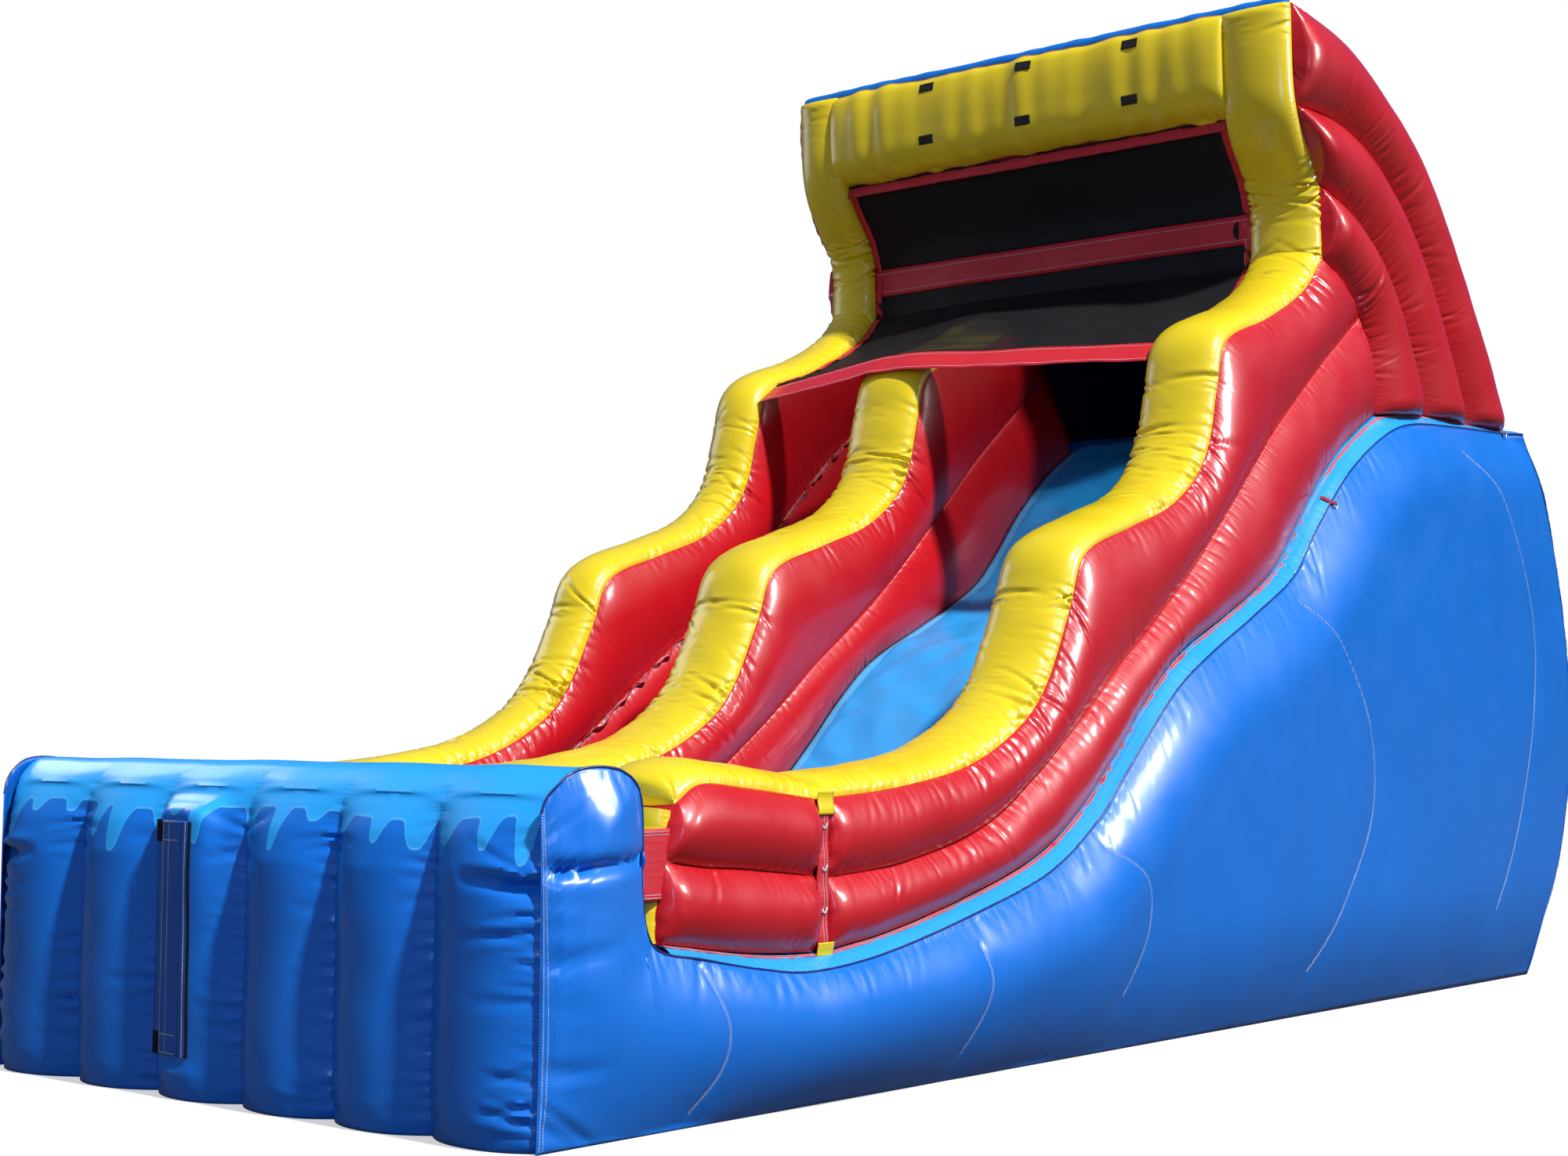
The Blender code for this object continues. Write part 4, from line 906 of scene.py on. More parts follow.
landing_line = np.vstack([[bumper_points[-1][0] - 0.02, landing_height], pool_bed_line[1:], bed_line[:1]])
for node, line, puff, seed in (("landing_bed", landing_line, 0.014, 910), ("slide_bed", deck_line, 0.004, 911)):
    piece = grid_piece(node + "_vinyl", bed_grid(line, puff, seed), blue_vinyl, marks={"seam": 0.2}, thickness=0.004)
    placed(piece, "blue_vinyl", node)
sheet_y, sheet_x = np.meshgrid(np.linspace(front + 0.03, rear - 0.03, 80), np.linspace(body_half, -body_half, 34),
                               indexing="ij")
sheet_z = 0.003 + 0.0006 * (1 + np.sin(7 * sheet_x) * np.sin(5 * sheet_y))
piece = grid_piece("base_sheet_vinyl", np.dstack([sheet_x, sheet_y, sheet_z]), blue_vinyl, thickness=0.0025)
placed(piece, "blue_vinyl", "base_sheet")


def baffle_grid():
    """Rings between the round vent and the panel's outline: point = vent + (outline - vent) x share^1.2."""
    low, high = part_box("inner_baffle")
    turn = np.linspace(0, 2 * math.pi, 121)[:-1]
    centre = np.array([(low.x + high.x) / 2, (low.z + high.z) / 2])
    way = np.column_stack([np.cos(turn), np.sin(turn)])
    half = np.array([high.x - low.x, high.z - low.z]) / 2
    outline = way * np.min(half / np.maximum(np.abs(way), 1e-9), axis=1)[:, None]
    share = (np.linspace(0, 1, 24) ** 1.2)[:, None, None]
    flat = centre + way * 0.15 * (1 - share) + outline * share
    bow = 0.004 * np.sin(np.pi * share[..., 0])
    return np.dstack([flat[..., 0], low.y + 0.004 + np.broadcast_to(bow, flat.shape[:2]), flat[..., 1]])


piece = grid_piece("inner_baffle_vinyl", baffle_grid(), blue_vinyl, closed=True, thickness=0.003)
placed(piece, "blue_vinyl", "inner_baffle")

# %% Roof
def roof_grid():
    """The outer arc's line, raised across by 0.255 x sin(pi u)^0.7 and by six shallow lanes of the mattress, and
    lifted at its front over the header."""
    arc = smooth(outer_arc)
    run = run_of(arc)
    start = np.interp(header_front + 0.12, arc[:, 0], run)
    wanted = np.linspace(start, run[-1] - 0.012, 190)
    line, out = at_run(arc, run, wanted), at_run(square_to(arc), run, wanted)
    share = (wanted - start) / (wanted[-1] - start)
    rise = np.interp(share, (0, 0.08, 0.14, 0.20, 1.0), (0.02, 0.12, 0.60, 1.0, 0.2))
    u = np.linspace(0, 1, 6 * 18 + 1)
    lanes = 0.028 * np.abs(np.sin(np.pi * u * 6)) ** 0.8 - 0.028
    lift = rise[:, None] * (0.255 * np.sin(np.pi * u) ** 0.7 + lanes * np.sin(np.pi * np.clip(u, 0.02, 0.98)))[None]
    lift = lift + np.interp(share, (0, 0.12, 0.2), (0.034, 0.034, 0.0))[:, None]
    x = np.broadcast_to(right_inner + (left_inner - right_inner) * u, lift.shape)
    grid = np.dstack([x, line[:, None] + out[:, None] * lift[..., None]])
    along = np.broadcast_to(wanted[:, None] - start, x.shape)
    bump = unevenness(along, x, 920, size=0.002)
    for number in range(7):
        off = np.abs(u - number / 6) * (right_inner - left_inner)
        bump += folds(along, np.broadcast_to(off, x.shape), np.full(len(wanted), 0.7), 921 + number, reach=0.15)
    edge = np.minimum(along, along.max() - along)
    return pushed(grid, bump * np.clip(edge / 0.03, 0, 1))


def painted_shade_inside(tree, base):
    """The roof's inner side, whose normals point down or forwards, gets painted shade: a near-black blue in place of
    the vinyl's colour.
    """
    turned = add(tree, "ShaderNodeSeparateXYZ", {0: add(tree, "ShaderNodeNewGeometry").outputs["Normal"]}).outputs
    inside = maths(tree, "LESS_THAN", maths(tree, "ADD", turned["Y"], turned["Z"]), 0.0)
    return blended(tree, inside, base, (0.004, 0.02, 0.07, 1))


# The roof's vinyl carries painted shade on its inner side.
roof_vinyl = vinyl("roof_vinyl", blue_colour, paint=painted_shade_inside)
piece = grid_piece("roof_panel_vinyl", roof_grid(), roof_vinyl, marks={"seam": 0.3}, thickness=0.004)
placed(piece, "blue_vinyl", "roof_panel")

# %% Roof welt
welt_x = np.linspace(-wall_outer + 0.02, wall_outer - 0.02, 330)
turn = np.linspace(0, 2 * math.pi, 25)[:-1]
welt_line = np.array([header_front + 0.11, height + 0.005])
welt_ring = welt_line + 0.042 * np.column_stack([-np.cos(turn), np.sin(turn)])
welt = np.dstack([np.broadcast_to(welt_x[:, None], (330, 24)), np.broadcast_to(welt_ring, (330, 24, 2))])
dip = 0.35 + 0.65 * end_pinch(welt_x - welt_x[0], 0.12, 0.12)
welt[..., 1:] = welt_line + (welt[..., 1:] - welt_line) * dip[:, None, None]
welt_run = np.broadcast_to(welt_x[:, None], (330, 24))
ripple = unevenness(welt_run, 0 * welt_run, 720, size=0.0022, shortest=0.12, longest=0.4)
welt = pushed(welt, ripple, closed=True)
placed(grid_piece("roof_welt", domed(welt), blue_vinyl, closed=True, marks={"seam": 0.4}), "blue_vinyl", fill=0.9)

# %% [markdown]
# ## Net
# A black net closes the tower's front between the posts. It comes down to a red band, lies over the lanes and
# the middle wall, and ends in a red hem that hangs from the crest. It is a flat cloth with real holes, which
# are drawn by the material's alpha, since there are hundreds of thousands.

# %% Net finishes
def cloth(name, colour, roughness, thread=0.0011, relief=0.4, openings=None):
    """Woven cloth: two sets of threads across each other, at the UV's scale, with slight tone changes."""
    made, tree, shader = new_material(name)
    place = add(tree, "ShaderNodeTexCoord").outputs
    way = add(tree, "ShaderNodeSeparateXYZ", {0: place["UV"]}).outputs
    waves = [maths(tree, "SINE", maths(tree, "MULTIPLY", way[k], 2 * math.pi / thread)) for k in ("X", "Y")]
    weave = rescaled(tree, maths(tree, "MULTIPLY", *waves), -1.0, 1.0, 0.0, 1.0)
    tone = noise(tree, place["Object"], 6.0, 5.0)
    toned, woven = rescaled(tree, tone, 0.3, 0.7, 0.8, 1.1), rescaled(tree, weave, 0.0, 1.0, 0.85, 1.0)
    shade = maths(tree, "MULTIPLY", toned, woven)
    tint = add(tree, "ShaderNodeCombineColor", {k: shade for k in (0, 1, 2)}).outputs[0]
    tree.links.new(blended(tree, 1.0, (*colour, 1), tint, "MULTIPLY"), shader.inputs["Base Color"])
    bump = add(tree, "ShaderNodeBump", {"Height": weave, "Strength": relief, "Distance": 0.0008})
    tree.links.new(bump.outputs[0], shader.inputs["Normal"])
    shader.inputs["Roughness"].default_value = roughness
    shader.inputs["Specular IOR Level"].default_value = 0.3
    if openings:
        cell, bar = openings
        bars = []
        for k in ("X", "Y"):
            share = maths(tree, "FRACT", maths(tree, "DIVIDE", way[k], cell))
            bars.append(maths(tree, "LESS_THAN", share, bar))
        shadow = add(tree, "ShaderNodeLightPath").outputs["Is Shadow Ray"]
        lit_through = maths(tree, "SUBTRACT", 1.0, maths(tree, "MULTIPLY", shadow, 0.42))
        tree.links.new(maths(tree, "MULTIPLY", maths(tree, "MAXIMUM", *bars), lit_through), shader.inputs["Alpha"])
    return made


net_cloth = cloth("black_net", (0.010, 0.010, 0.012), 0.6, openings=(0.005, 0.46))
hook_tape = cloth("black_hook_tape", (0.012, 0.012, 0.013), 0.85, thread=0.0024, relief=1.0)
webbing = cloth("red_webbing", (0.42, 0.02, 0.03), 0.7, thread=0.0022, relief=0.8)
thread_white = cloth("white_thread", (0.60, 0.64, 0.70), 0.6, thread=0.0007)
thread_orange = cloth("orange_thread", (0.75, 0.20, 0.03), 0.6, thread=0.0007)

# %% Net pieces
post_run = run_of(post_line)
crest_run, pocket_run = post_run[crest_at] + 0.06, post_run[len(cap_line) - 1]
second_run, top_run = (post_run[len(cap_line) - 1 + count * curve_steps] for count in (1, 2))
mid_wall_run = post_run[mid_stop - 1]
band_low, band_high = (pocket_run + share * (second_run - pocket_run) for share in (0.35, 0.75))


def net_grid(start, end, spacing=0.022, lift=0.0006):
    """Rows along the post's line, columns from right to left. A point lies off the line by lift, and over the
    lanes by crown x share(x) x lie, where lie grows from the band down to the middle wall's end."""
    wanted = np.linspace(start, end, max(3, int((end - start) / spacing)))
    line, out = at_run(post_line, post_run, wanted), at_run(square_to(post_line), post_run, wanted)
    lie = np.clip((band_low - wanted) / (band_low - mid_wall_run), 0, 1)
    knots = np.array([(1.299, 0.05), (0.55, 0.50), (-0.195, 0.96), (-0.42, 1.04), (-0.645, 0.96), (-1.399, 0.05)])
    curve = smooth(knots, 20)
    x = np.linspace(right_inner - 0.001, left_inner + 0.001, 110)
    share = np.interp(-x, -curve[:, 0], curve[:, 1])
    rise = lift + np.maximum(0.004 * (1 - lie)[:, None], cap_crown * share[None] * lie[:, None])
    along = np.broadcast_to(wanted[:, None], rise.shape)
    loose = np.sin(np.pi * np.clip((x - x.min()) / (x.max() - x.min()), 0, 1))[None]
    rise = rise + loose * (0.006 + unevenness(along, x[None], 930, size=0.005, shortest=0.3, longest=1.2))
    return np.dstack([np.broadcast_to(x, rise.shape), line[:, None] + out[:, None] * rise[..., None]])


for name, start, end, material, slot in (
    ("lower_net", crest_run, band_low, net_cloth, "black_net"),
    ("net_band", band_low - 0.004, band_high + 0.004, hem_vinyl, "hem_vinyl"),
    ("upper_net", band_high, top_run - 0.002, net_cloth, "black_net"),
):
    grid = net_grid(start, end, lift=0.0022 if name == "net_band" else 0.0006)
    piece = grid_piece(name + "_cloth", grid, material, marks={"seam": 0.3}, thickness=0.0012)
    placed(piece, slot, name)

# %% [markdown]
# ## Strips, piping and stitches
# Sewn edges carry strips, a round piping or rows of thread. A strip is a path given width, piping is a small
# circle carried along a path, and a seam's thread is one mesh of short flat blocks along the path.

# %% Strips, piping and stitches
def unit(vectors):
    return vectors / np.maximum(np.linalg.norm(vectors, axis=-1, keepdims=True), 1e-12)


def strip_piece(name, path, across, width, wavy, seed):
    """A red ribbon: path + across x width x k, for k from -1/2 to 1/2, with a slight wave."""
    k = np.linspace(-0.5, 0.5, 5)
    across = unit(np.broadcast_to(across, np.shape(path)))
    grid = np.asarray(path)[:, None] + across[:, None] * (width * k)[None, :, None]
    run = np.broadcast_to(run_of(path)[:, None], grid.shape[:2])
    grid = pushed(grid, unevenness(run, run * 0 + k * width, seed, size=wavy, shortest=0.05, longest=0.3))
    placed(grid_piece(name, grid, hem_vinyl, marks={"seam": 0.3}, thickness=0.002), "hem_vinyl")


piping_sides, thread_share = 8, 0.68


def piping_piece(name, path, radius, material, slot):
    """A tube: path + radius x (cos a x side + sin a x up)."""
    path = np.asarray(path)
    along = unit(np.gradient(path, axis=0))
    side = unit(np.cross(along, (0.31, 0.17, 0.93)))
    up = np.cross(side, along)
    a = np.linspace(0, 2 * math.pi, piping_sides + 1)[:-1]
    ring = np.cos(a)[None, :, None] * side[:, None] + np.sin(a)[None, :, None] * up[:, None]
    grid = path[:, None] + radius * ring
    return placed(grid_piece(name, domed(grid[:, ::-1]), material, closed=True), slot)


def stitch_piece(name, rows, slot, material=thread_white, body="slide", pitch=0.011, width=0.0026, lift=0.001):
    """Short blocks of thread, one a pitch, along each (path, outward) row. A block's corner is its middle
    + along x half length + side x half width + out x height."""
    corners = np.array([(x, y, z) for x in (-1, 1) for y in (-1, 1) for z in (-1, 1)], float)
    sides = np.array([(0, 1, 3, 2), (4, 6, 7, 5), (0, 4, 5, 1), (2, 3, 7, 6), (0, 2, 6, 4), (1, 5, 7, 3)])
    blocks = []
    for path, out in rows:
        run = run_of(path)
        middles = np.arange(pitch / 2, run[-1], pitch)
        spot, outward = at_run(path, run, middles), unit(at_run(out, run, middles))
        along = unit(at_run(path, run, middles + 0.002) - at_run(path, run, middles - 0.002))
        side = np.cross(outward, along)
        size = np.array([pitch * thread_share / 2, width / 2, lift])
        way = np.stack([along, side, outward], axis=1) * size[None, :, None]
        blocks.append(spot[:, None] + np.einsum("ck,nkd->ncd", corners, way))
    points = np.concatenate(blocks)
    count = len(points)
    faces = (sides[None] + 8 * np.arange(count)[:, None, None]).reshape(-1, 4)
    mesh = bpy.data.meshes.new(name)
    mesh.from_pydata(points.reshape(-1, 3).tolist(), [], faces.tolist())
    form = bmesh.new()
    form.from_mesh(mesh)
    bmesh.ops.recalc_face_normals(form, faces=form.faces)
    form.to_mesh(mesh)
    form.free()
    layer = mesh.uv_layers.new(name="UVMap")
    layer.data.foreach_set("uv", np.tile((0, 0, 0.007, 0, 0.007, 0.002, 0, 0.002), len(faces)).astype(np.float32))
    return placed(finished(name, mesh, material), slot, body=body)


def on_grid(grid, i, k):
    """Points of a grid between its rows and columns, by the shares of the four nearest."""
    i, k = np.clip(i, 0, grid.shape[0] - 1.001), np.clip(k, 0, grid.shape[1] - 1.001)
    i0, k0 = i.astype(int), k.astype(int)
    di, dk = (i - i0)[:, None], (k - k0)[:, None]
    return ((grid[i0, k0] * (1 - di) + grid[i0 + 1, k0] * di) * (1 - dk)
            + (grid[i0, k0 + 1] * (1 - di) + grid[i0 + 1, k0 + 1] * di) * dk)


# %% Stitched lines and piping of the side panels
def located(grid, y, z):
    """Where on a grid its points have the wanted y and z: from the nearest point, by Newton steps."""
    wanted = np.column_stack([y, z])
    nearest = [np.argmin(((grid[..., 1:] - spot) ** 2).sum(axis=2)) for spot in wanted]
    i, k = (place.astype(float) for place in np.unravel_index(nearest, grid.shape[:2]))
    for _ in range(8):
        by_row = (on_grid(grid, i + 0.5, k) - on_grid(grid, i - 0.5, k))[:, 1:]
        by_column = (on_grid(grid, i, k + 0.5) - on_grid(grid, i, k - 0.5))[:, 1:]
        miss = wanted - on_grid(grid, i, k)[:, 1:]
        step = np.linalg.solve(np.stack([by_row, by_column], axis=-1), miss[..., None])[..., 0]
        i, k = (place + np.clip(part, -3, 3) for place, part in zip((i, k), step.T))
    return i, k


panel_out = facing(panel_grid)
right_rows = []
for line in stitch_lines:
    i, k = located(panel_grid, *smooth(line, 2).T)
    path, out = on_grid(panel_grid, i, k), unit(on_grid(panel_out, i, k))
    side = unit(np.cross(out, np.gradient(path, axis=0)))
    right_rows += [(path + side * off, out) for off in (-0.004, 0.004)]
columns = np.linspace(1, panel_grid.shape[1] - 2, 150)
for i in (1.2, 2.6):
    spot = np.full(len(columns), i)
    right_rows.append((on_grid(panel_grid, spot, columns), unit(on_grid(panel_out, spot, columns))))
flip = np.array([-1, 1, 1])
for side, rows in (("right", right_rows), ("left", [(path * flip, out * flip) for path, out in right_rows])):
    stitch_piece(side + "_panel_stitches", rows, "blue_vinyl")
edge_path = panel_grid[:, -1] + [0.001, 0, 0.001]
corner_path = panel_grid[0]
for side, way in (("right", 1), ("left", flip)):
    piping_piece(side + "_edge_piping", edge_path * way, 0.005, navy_vinyl, "blue_vinyl")
    piping_piece(side + "_corner_piping", corner_path * way, 0.0015, blue_vinyl, "blue_vinyl")

# %% Trim's red upper edge, with its stitches
joint_x = 1.752
share = (joint_x - trim_inner[:, 0]) / (trim_outer[:, 0] - trim_inner[:, 0])
hem_path = trim_inner + (trim_outer - trim_inner) * share[:, None] + [0, 0, 0.014]
hem_across = unit(trim_inner - trim_outer)
for side, way in (("right", np.ones(3)), ("left", flip)):
    path, across = hem_path * way, hem_across * way
    strip_piece(side + "_trim_hem", path, across * way[0], 0.022, 0.001, 940)
    out = unit(np.cross(np.gradient(path, axis=0), across * way[0]))
    stitch_piece(side + "_trim_hem_stitches", [(path + across * off + out * 0.001, out) for off in (-0.006, 0.006)],
                 "hem_vinyl")

# %% Ruffled strips along the climbing lane
for name, x, way in (("left_lane_strip", left_inner + 0.004, 1), ("mid_lane_strip", mid_left - 0.004, -1)):
    (path,) = evenly(0.012, seam_line[60 : 13 * curve_steps])
    path = np.column_stack([np.full(len(path), x + way * 0.02), path])
    ruffle = run_of(path)
    path[:, 0] += way * (0.008 * np.sin(ruffle * 31) + 0.006 * np.sin(ruffle * 73 + 1))
    path[:, 2] += 0.006 * np.sin(ruffle * 47)
    strip_piece(name, path[::way], (0.8, 0, 0.6 * way), 0.05, 0.006, 944)
    lane_out = np.broadcast_to([-0.6 * way, 0, 0.8], path.shape)
    stitch_piece(name + "_stitches", [(path + [way * off, 0, 0.004], lane_out) for off in (-0.012, 0.0, 0.012)],
                 "hem_vinyl")

# %% Hems of the net
hem_lean, hem_drop = math.radians(52), 0.185
hang = np.array([0, -math.sin(hem_lean), -math.cos(hem_lean)])
crest_row = net_grid(crest_run, crest_run + 0.1)[0]
fall = np.linspace(0, 1, 9)
hem = crest_row[None, ::-1] + hang * (fall * hem_drop)[:, None, None]
wave = unevenness(hem[..., 0], hem[..., 2], 941, size=0.003, shortest=0.2, longest=0.9) * fall[:, None]
hem = hem[::-1, ::-1]
hem = pushed(hem, wave[::-1, ::-1])
piece = grid_piece("net_front_hem_vinyl", hem, hem_vinyl, marks={"seam": 0.4}, thickness=0.002)
placed(piece, "hem_vinyl", "net_front_hem")
hem_out = facing(hem)
stitch_piece("net_front_hem_stitches", [(hem[k], hem_out[k]) for k in (1, 7)], "hem_vinyl")
upper = net_grid(band_high, top_run - 0.002)
top_path = upper[-2] + facing(upper)[-2] * 0.005
strip_piece("net_top_hem", top_path[::-1], (0, 0.25, 0.97), 0.105, 0.0015, 942)
whole = net_grid(crest_run + 0.02, top_run - 0.03, spacing=0.012)
for side, column in (("right", 1), ("left", -2)):
    path = whole[:, column] + facing(whole)[:, column] * 0.005
    loose = np.clip((band_low - np.linspace(crest_run, top_run, len(path))) / 0.4, 0, 1)[:, None]
    strip_piece(f"net_{side}_hem", path + loose * 0.006, (-1.0, 0, 0), 0.05, 0.003, 943)
band = net_grid(band_low - 0.004, band_high + 0.004, lift=0.0034)
band_out = facing(band)
stitch_piece("net_band_stitches", [(band[k], band_out[k]) for k in (1, -2)], "hem_vinyl", pitch=0.014)

turn = np.linspace(0, math.pi, 17)
mark_x = 1.215 - 0.035 * np.sin(turn)[None] * np.linspace(1, 0, 7)[:, None]
mark_k = (len(band) - 1) / 2 + 0.30 * (len(band) - 1) * np.cos(turn)[None] * np.linspace(1, 0.02, 7)[:, None]
band_k = (band[0, 0, 0] - mark_x) / (band[0, 0, 0] - band[0, -1, 0]) * (band.shape[1] - 1)
mark = (on_grid(band, mark_k.ravel(), band_k.ravel()) + on_grid(band_out, mark_k.ravel(), band_k.ravel()) * 0.002)
mark = mark.reshape(7, 17, 3)
if facing(mark)[3, 8, 1] > 0:
    mark = mark[:, ::-1]
placed(grid_piece("net_band_mark", mark, hook_tape, thickness=0.0012), "black_hook_tape")

# %% Header's patches and its stitched line
header_out = facing(header, closed=True)
ring_z = header[len(header) // 2, :, 2]
for row, z in (("upper", 5.425), ("lower", 5.10)):
    k_middle = np.interp(z, ring_z[: np.argmax(ring_z)], np.arange(np.argmax(ring_z)))
    for place, x in (("left", -0.685), ("centre", 0.03), ("right", 0.76)):
        i = (x - header_ends[0]) / header_step + np.linspace(-0.0525, 0.0525, 14) / header_step
        k = k_middle + np.linspace(-0.0275, 0.0275, 9) / ring_step
        ii, kk = np.meshgrid(i, k, indexing="ij")
        spot, out = on_grid(header, ii.ravel(), kk.ravel()), unit(on_grid(header_out, ii.ravel(), kk.ravel()))
        flat_out = unit(out.mean(axis=0))
        middle = spot.mean(axis=0)
        depth = (spot - middle) @ flat_out
        patch = spot + np.multiply.outer(depth.max() * 0.7 - depth + 0.002, flat_out)
        patch = patch.reshape(len(i), len(k), 3)
        piece = grid_piece(f"patch_{row}_{place}", patch, hook_tape, thickness=0.0028)
        placed(piece, "black_hook_tape", f"header_patch_{row}_{place}")
ring_even = evenly(ring_step, header_ring)[0][:-1]
k_seam = np.argmin(np.linalg.norm(ring_even - header_points[4] - [0.02, 0], axis=1))
piping_piece("header_top_stitching", header[4:-4, k_seam] + header_out[4:-4, k_seam] * 0.001, 0.0028, thread_orange,
             "yellow_vinyl")

# %% [markdown]
# ## Slide liner and climbing steps
# The liner is a loose light-blue cloth on the slope with a paler border. The steps of the climbing lane are
# short fat cushions, sewn to the bed.

# %% Liner
liner_start, liner_end = (share * run_of(bed_line)[-1] for share in (0.05, 0.97))
liner_wanted = np.arange(liner_start, liner_end, 0.023)
liner_line = at_run(bed_line, run_of(bed_line), liner_wanted)
liner_x = np.linspace(right_inner - 0.006, mid_right + 0.006, 76)
along, over = np.meshgrid(liner_wanted, liner_x, indexing="ij")
edge = np.minimum(over - liner_x[-1], liner_x[0] - over)
wrinkles = unevenness(along, over, 950, size=0.006, shortest=0.2, longest=0.9, count=22)
fold_power = 0.6 + 0.5 * np.sin(liner_wanted * 3)
wrinkles = wrinkles + folds(along, over - liner_x[-1], fold_power, 951, spacing=0.14, reach=0.8, depth=0.022,
                            width=0.026, lean=0.5)
liner_grid = np.dstack([over, np.broadcast_to(liner_line[:, None], (*over.shape, 2))])
liner_grid[..., 2] += 0.007 + np.clip(edge / 0.1, 0, 1) * np.maximum(0.012 + 1.6 * wrinkles, 0)


def bordered(tree, base):
    """A paler border strip along both long edges of the liner."""
    over_border = marked(tree, "border")
    return blended(tree, rescaled(tree, over_border, -0.001, 0.001, 1.0, 0.0), base, (0.10, 0.50, 0.90, 1))


liner_vinyl = vinyl("liner_vinyl", (0.02, 0.36, 0.82), gloss=0.34, coat=0.02, paint=bordered)
piece = grid_piece("slide_liner_cloth", liner_grid, liner_vinyl, marks={"seam": 0.3, "border": edge - 0.055},
                   thickness=0.0025)
placed(piece, "light_blue_vinyl", "slide_liner")
stitch_piece("liner_stitches", [(liner_grid[:, k], facing(liner_grid)[:, k]) for k in (3, -4)],
             "light_blue_vinyl", pitch=0.014)

# %% Climbing steps
step_low, step_high = left_inner + 0.045, mid_left - 0.045


def step_grid(number):
    """Rings across the lane. The cushion's section is a half round on the bed, fuller than a circle, that
    shrinks towards both ends by (1 - |s|^3.2)^(1/2.2)."""
    bed_run = run_of(bed_line)
    at_height = bed_line[0][1] + (bed_line[-1][1] - bed_line[0][1]) * (number + 1) / 6
    middle = np.interp(at_height, bed_line[:, 1], bed_run)
    foot = at_run(bed_line, bed_run, middle + np.linspace(0.13, -0.13, 18)) + [0, 0.002]
    away = np.array([-(foot[0] - foot[-1])[1], (foot[0] - foot[-1])[0]]) / np.linalg.norm(foot[0] - foot[-1])
    turn = np.linspace(0, math.pi, 46)[1:-1]
    centre, half = (foot[0] + foot[-1]) / 2, (foot[0] - foot[-1]) / 2
    arc = centre - half * (np.sign(np.cos(turn)) * np.abs(np.cos(turn)) ** 0.8)[:, None]
    arc = arc + away * (0.155 * np.sin(turn) ** 0.75)[:, None]
    ring = np.vstack([foot, arc])
    s = np.sin(np.linspace(-0.5, 0.5, 74) * math.pi)
    share = np.clip(1 - np.abs(s) ** 3.2, 0, 1) ** (1 / 2.2)
    x = (step_low + step_high) / 2 + s * (step_high - step_low) / 2
    section = centre + (ring - centre)[None] * np.maximum(share, 0.02)[:, None, None] ** 0.35
    section = section - away * ((section - centre) @ away)[..., None] * (1 - share[:, None, None] ** 0.65)
    grid = np.dstack([np.broadcast_to(x[:, None], section.shape[:2]), section])
    run = run_of(ring)
    near_seam = np.minimum(np.abs(run - run[18]), run[-1] - run)
    along = np.broadcast_to(x[:, None], grid.shape[:2])
    bump = folds(along, np.broadcast_to(near_seam, along.shape), np.ones(len(x)), 960 + number, spacing=0.05,
                 reach=0.12, depth=0.008)
    bump[:, :18] = 0
    return pushed(grid, bump * share[:, None], closed=True)


for number in range(5):
    piece = grid_piece(f"climb_step_{number + 1}_vinyl", domed(step_grid(number)), red_vinyl, closed=True,
                       marks={"seam": 0.5})
    placed(piece, "red_vinyl", f"climb_step_{number + 1}", fill=0.9)

# %% [markdown]
# ## Deflation port
# A long zip in the bumper lets the air out. A flap covers it: sewn along its right edge, stitched in three
# rows, and held at its left by squares of hook-and-loop tape. The flap swings, and the slider runs down.

# %% Port
port_centre = np.array([-0.354167, -4.359749, 0.65])
port_right, port_out = np.array([0.98969, -0.14323, 0]), np.array([-0.14323, -0.98969, 0])
port_up = np.array([0, 0, 1.0])


def at_port(right, out, up):
    """Points from distances to the right, out of the bumper and up, from the port's middle."""
    right, out, up = np.broadcast_arrays(right, out, up)
    return port_centre + right[..., None] * port_right + out[..., None] * port_out + up[..., None] * port_up


def port_grid(right, up, out, counts):
    """Rows up, columns from right to left, so that the sheet faces out."""
    rows, columns = np.linspace(*up, counts[0]), np.linspace(right[1], right[0], counts[1])
    over = out + unevenness(rows[:, None] + 0 * columns, columns[None] + 0 * rows[:, None], 970, size=0.0006)
    return at_port(columns[None], over, rows[:, None])


tape = port_grid((-0.025, 0.025), (-0.47, 0.47), 0.0022, (60, 7))
placed(grid_piece("zip_tape_cloth", tape, hook_tape, thickness=0.0016), "black_hook_tape", "zip_tape")
upright = np.linspace(-0.468, 0.468, 200)
port_outs = np.broadcast_to(port_out, (200, 3))
stitch_piece("zip_teeth", [(at_port(off, 0.0026, upright), port_outs) for off in (-0.0032, 0.0032)],
             "black_hook_tape", navy_vinyl, pitch=0.006, width=0.005, lift=0.0012)
flap_up, flap_left, hinge_right = (-0.476, 0.476), -0.13, 0.06
flap_vinyl = vinyl("flap_vinyl", (0.006, 0.11, 0.50), gloss=0.4, creases=0.6, coat=0.1)
flap = port_grid((flap_left, 0.054), flap_up, 0.012, (120, 19))
root = np.array(((hinge_right, 0.006), (hinge_right, 0.009), (0.058, 0.0115)))
rooted = at_port(root[None, :, 0], root[None, :, 1], np.linspace(*flap_up, 120)[:, None])
flap = np.concatenate([rooted, flap], axis=1)
piece = grid_piece("port_flap_vinyl", flap, flap_vinyl, marks={"seam": 0.5}, thickness=0.0025)
placed(piece, "blue_vinyl", "port_flap", body="port_flap")


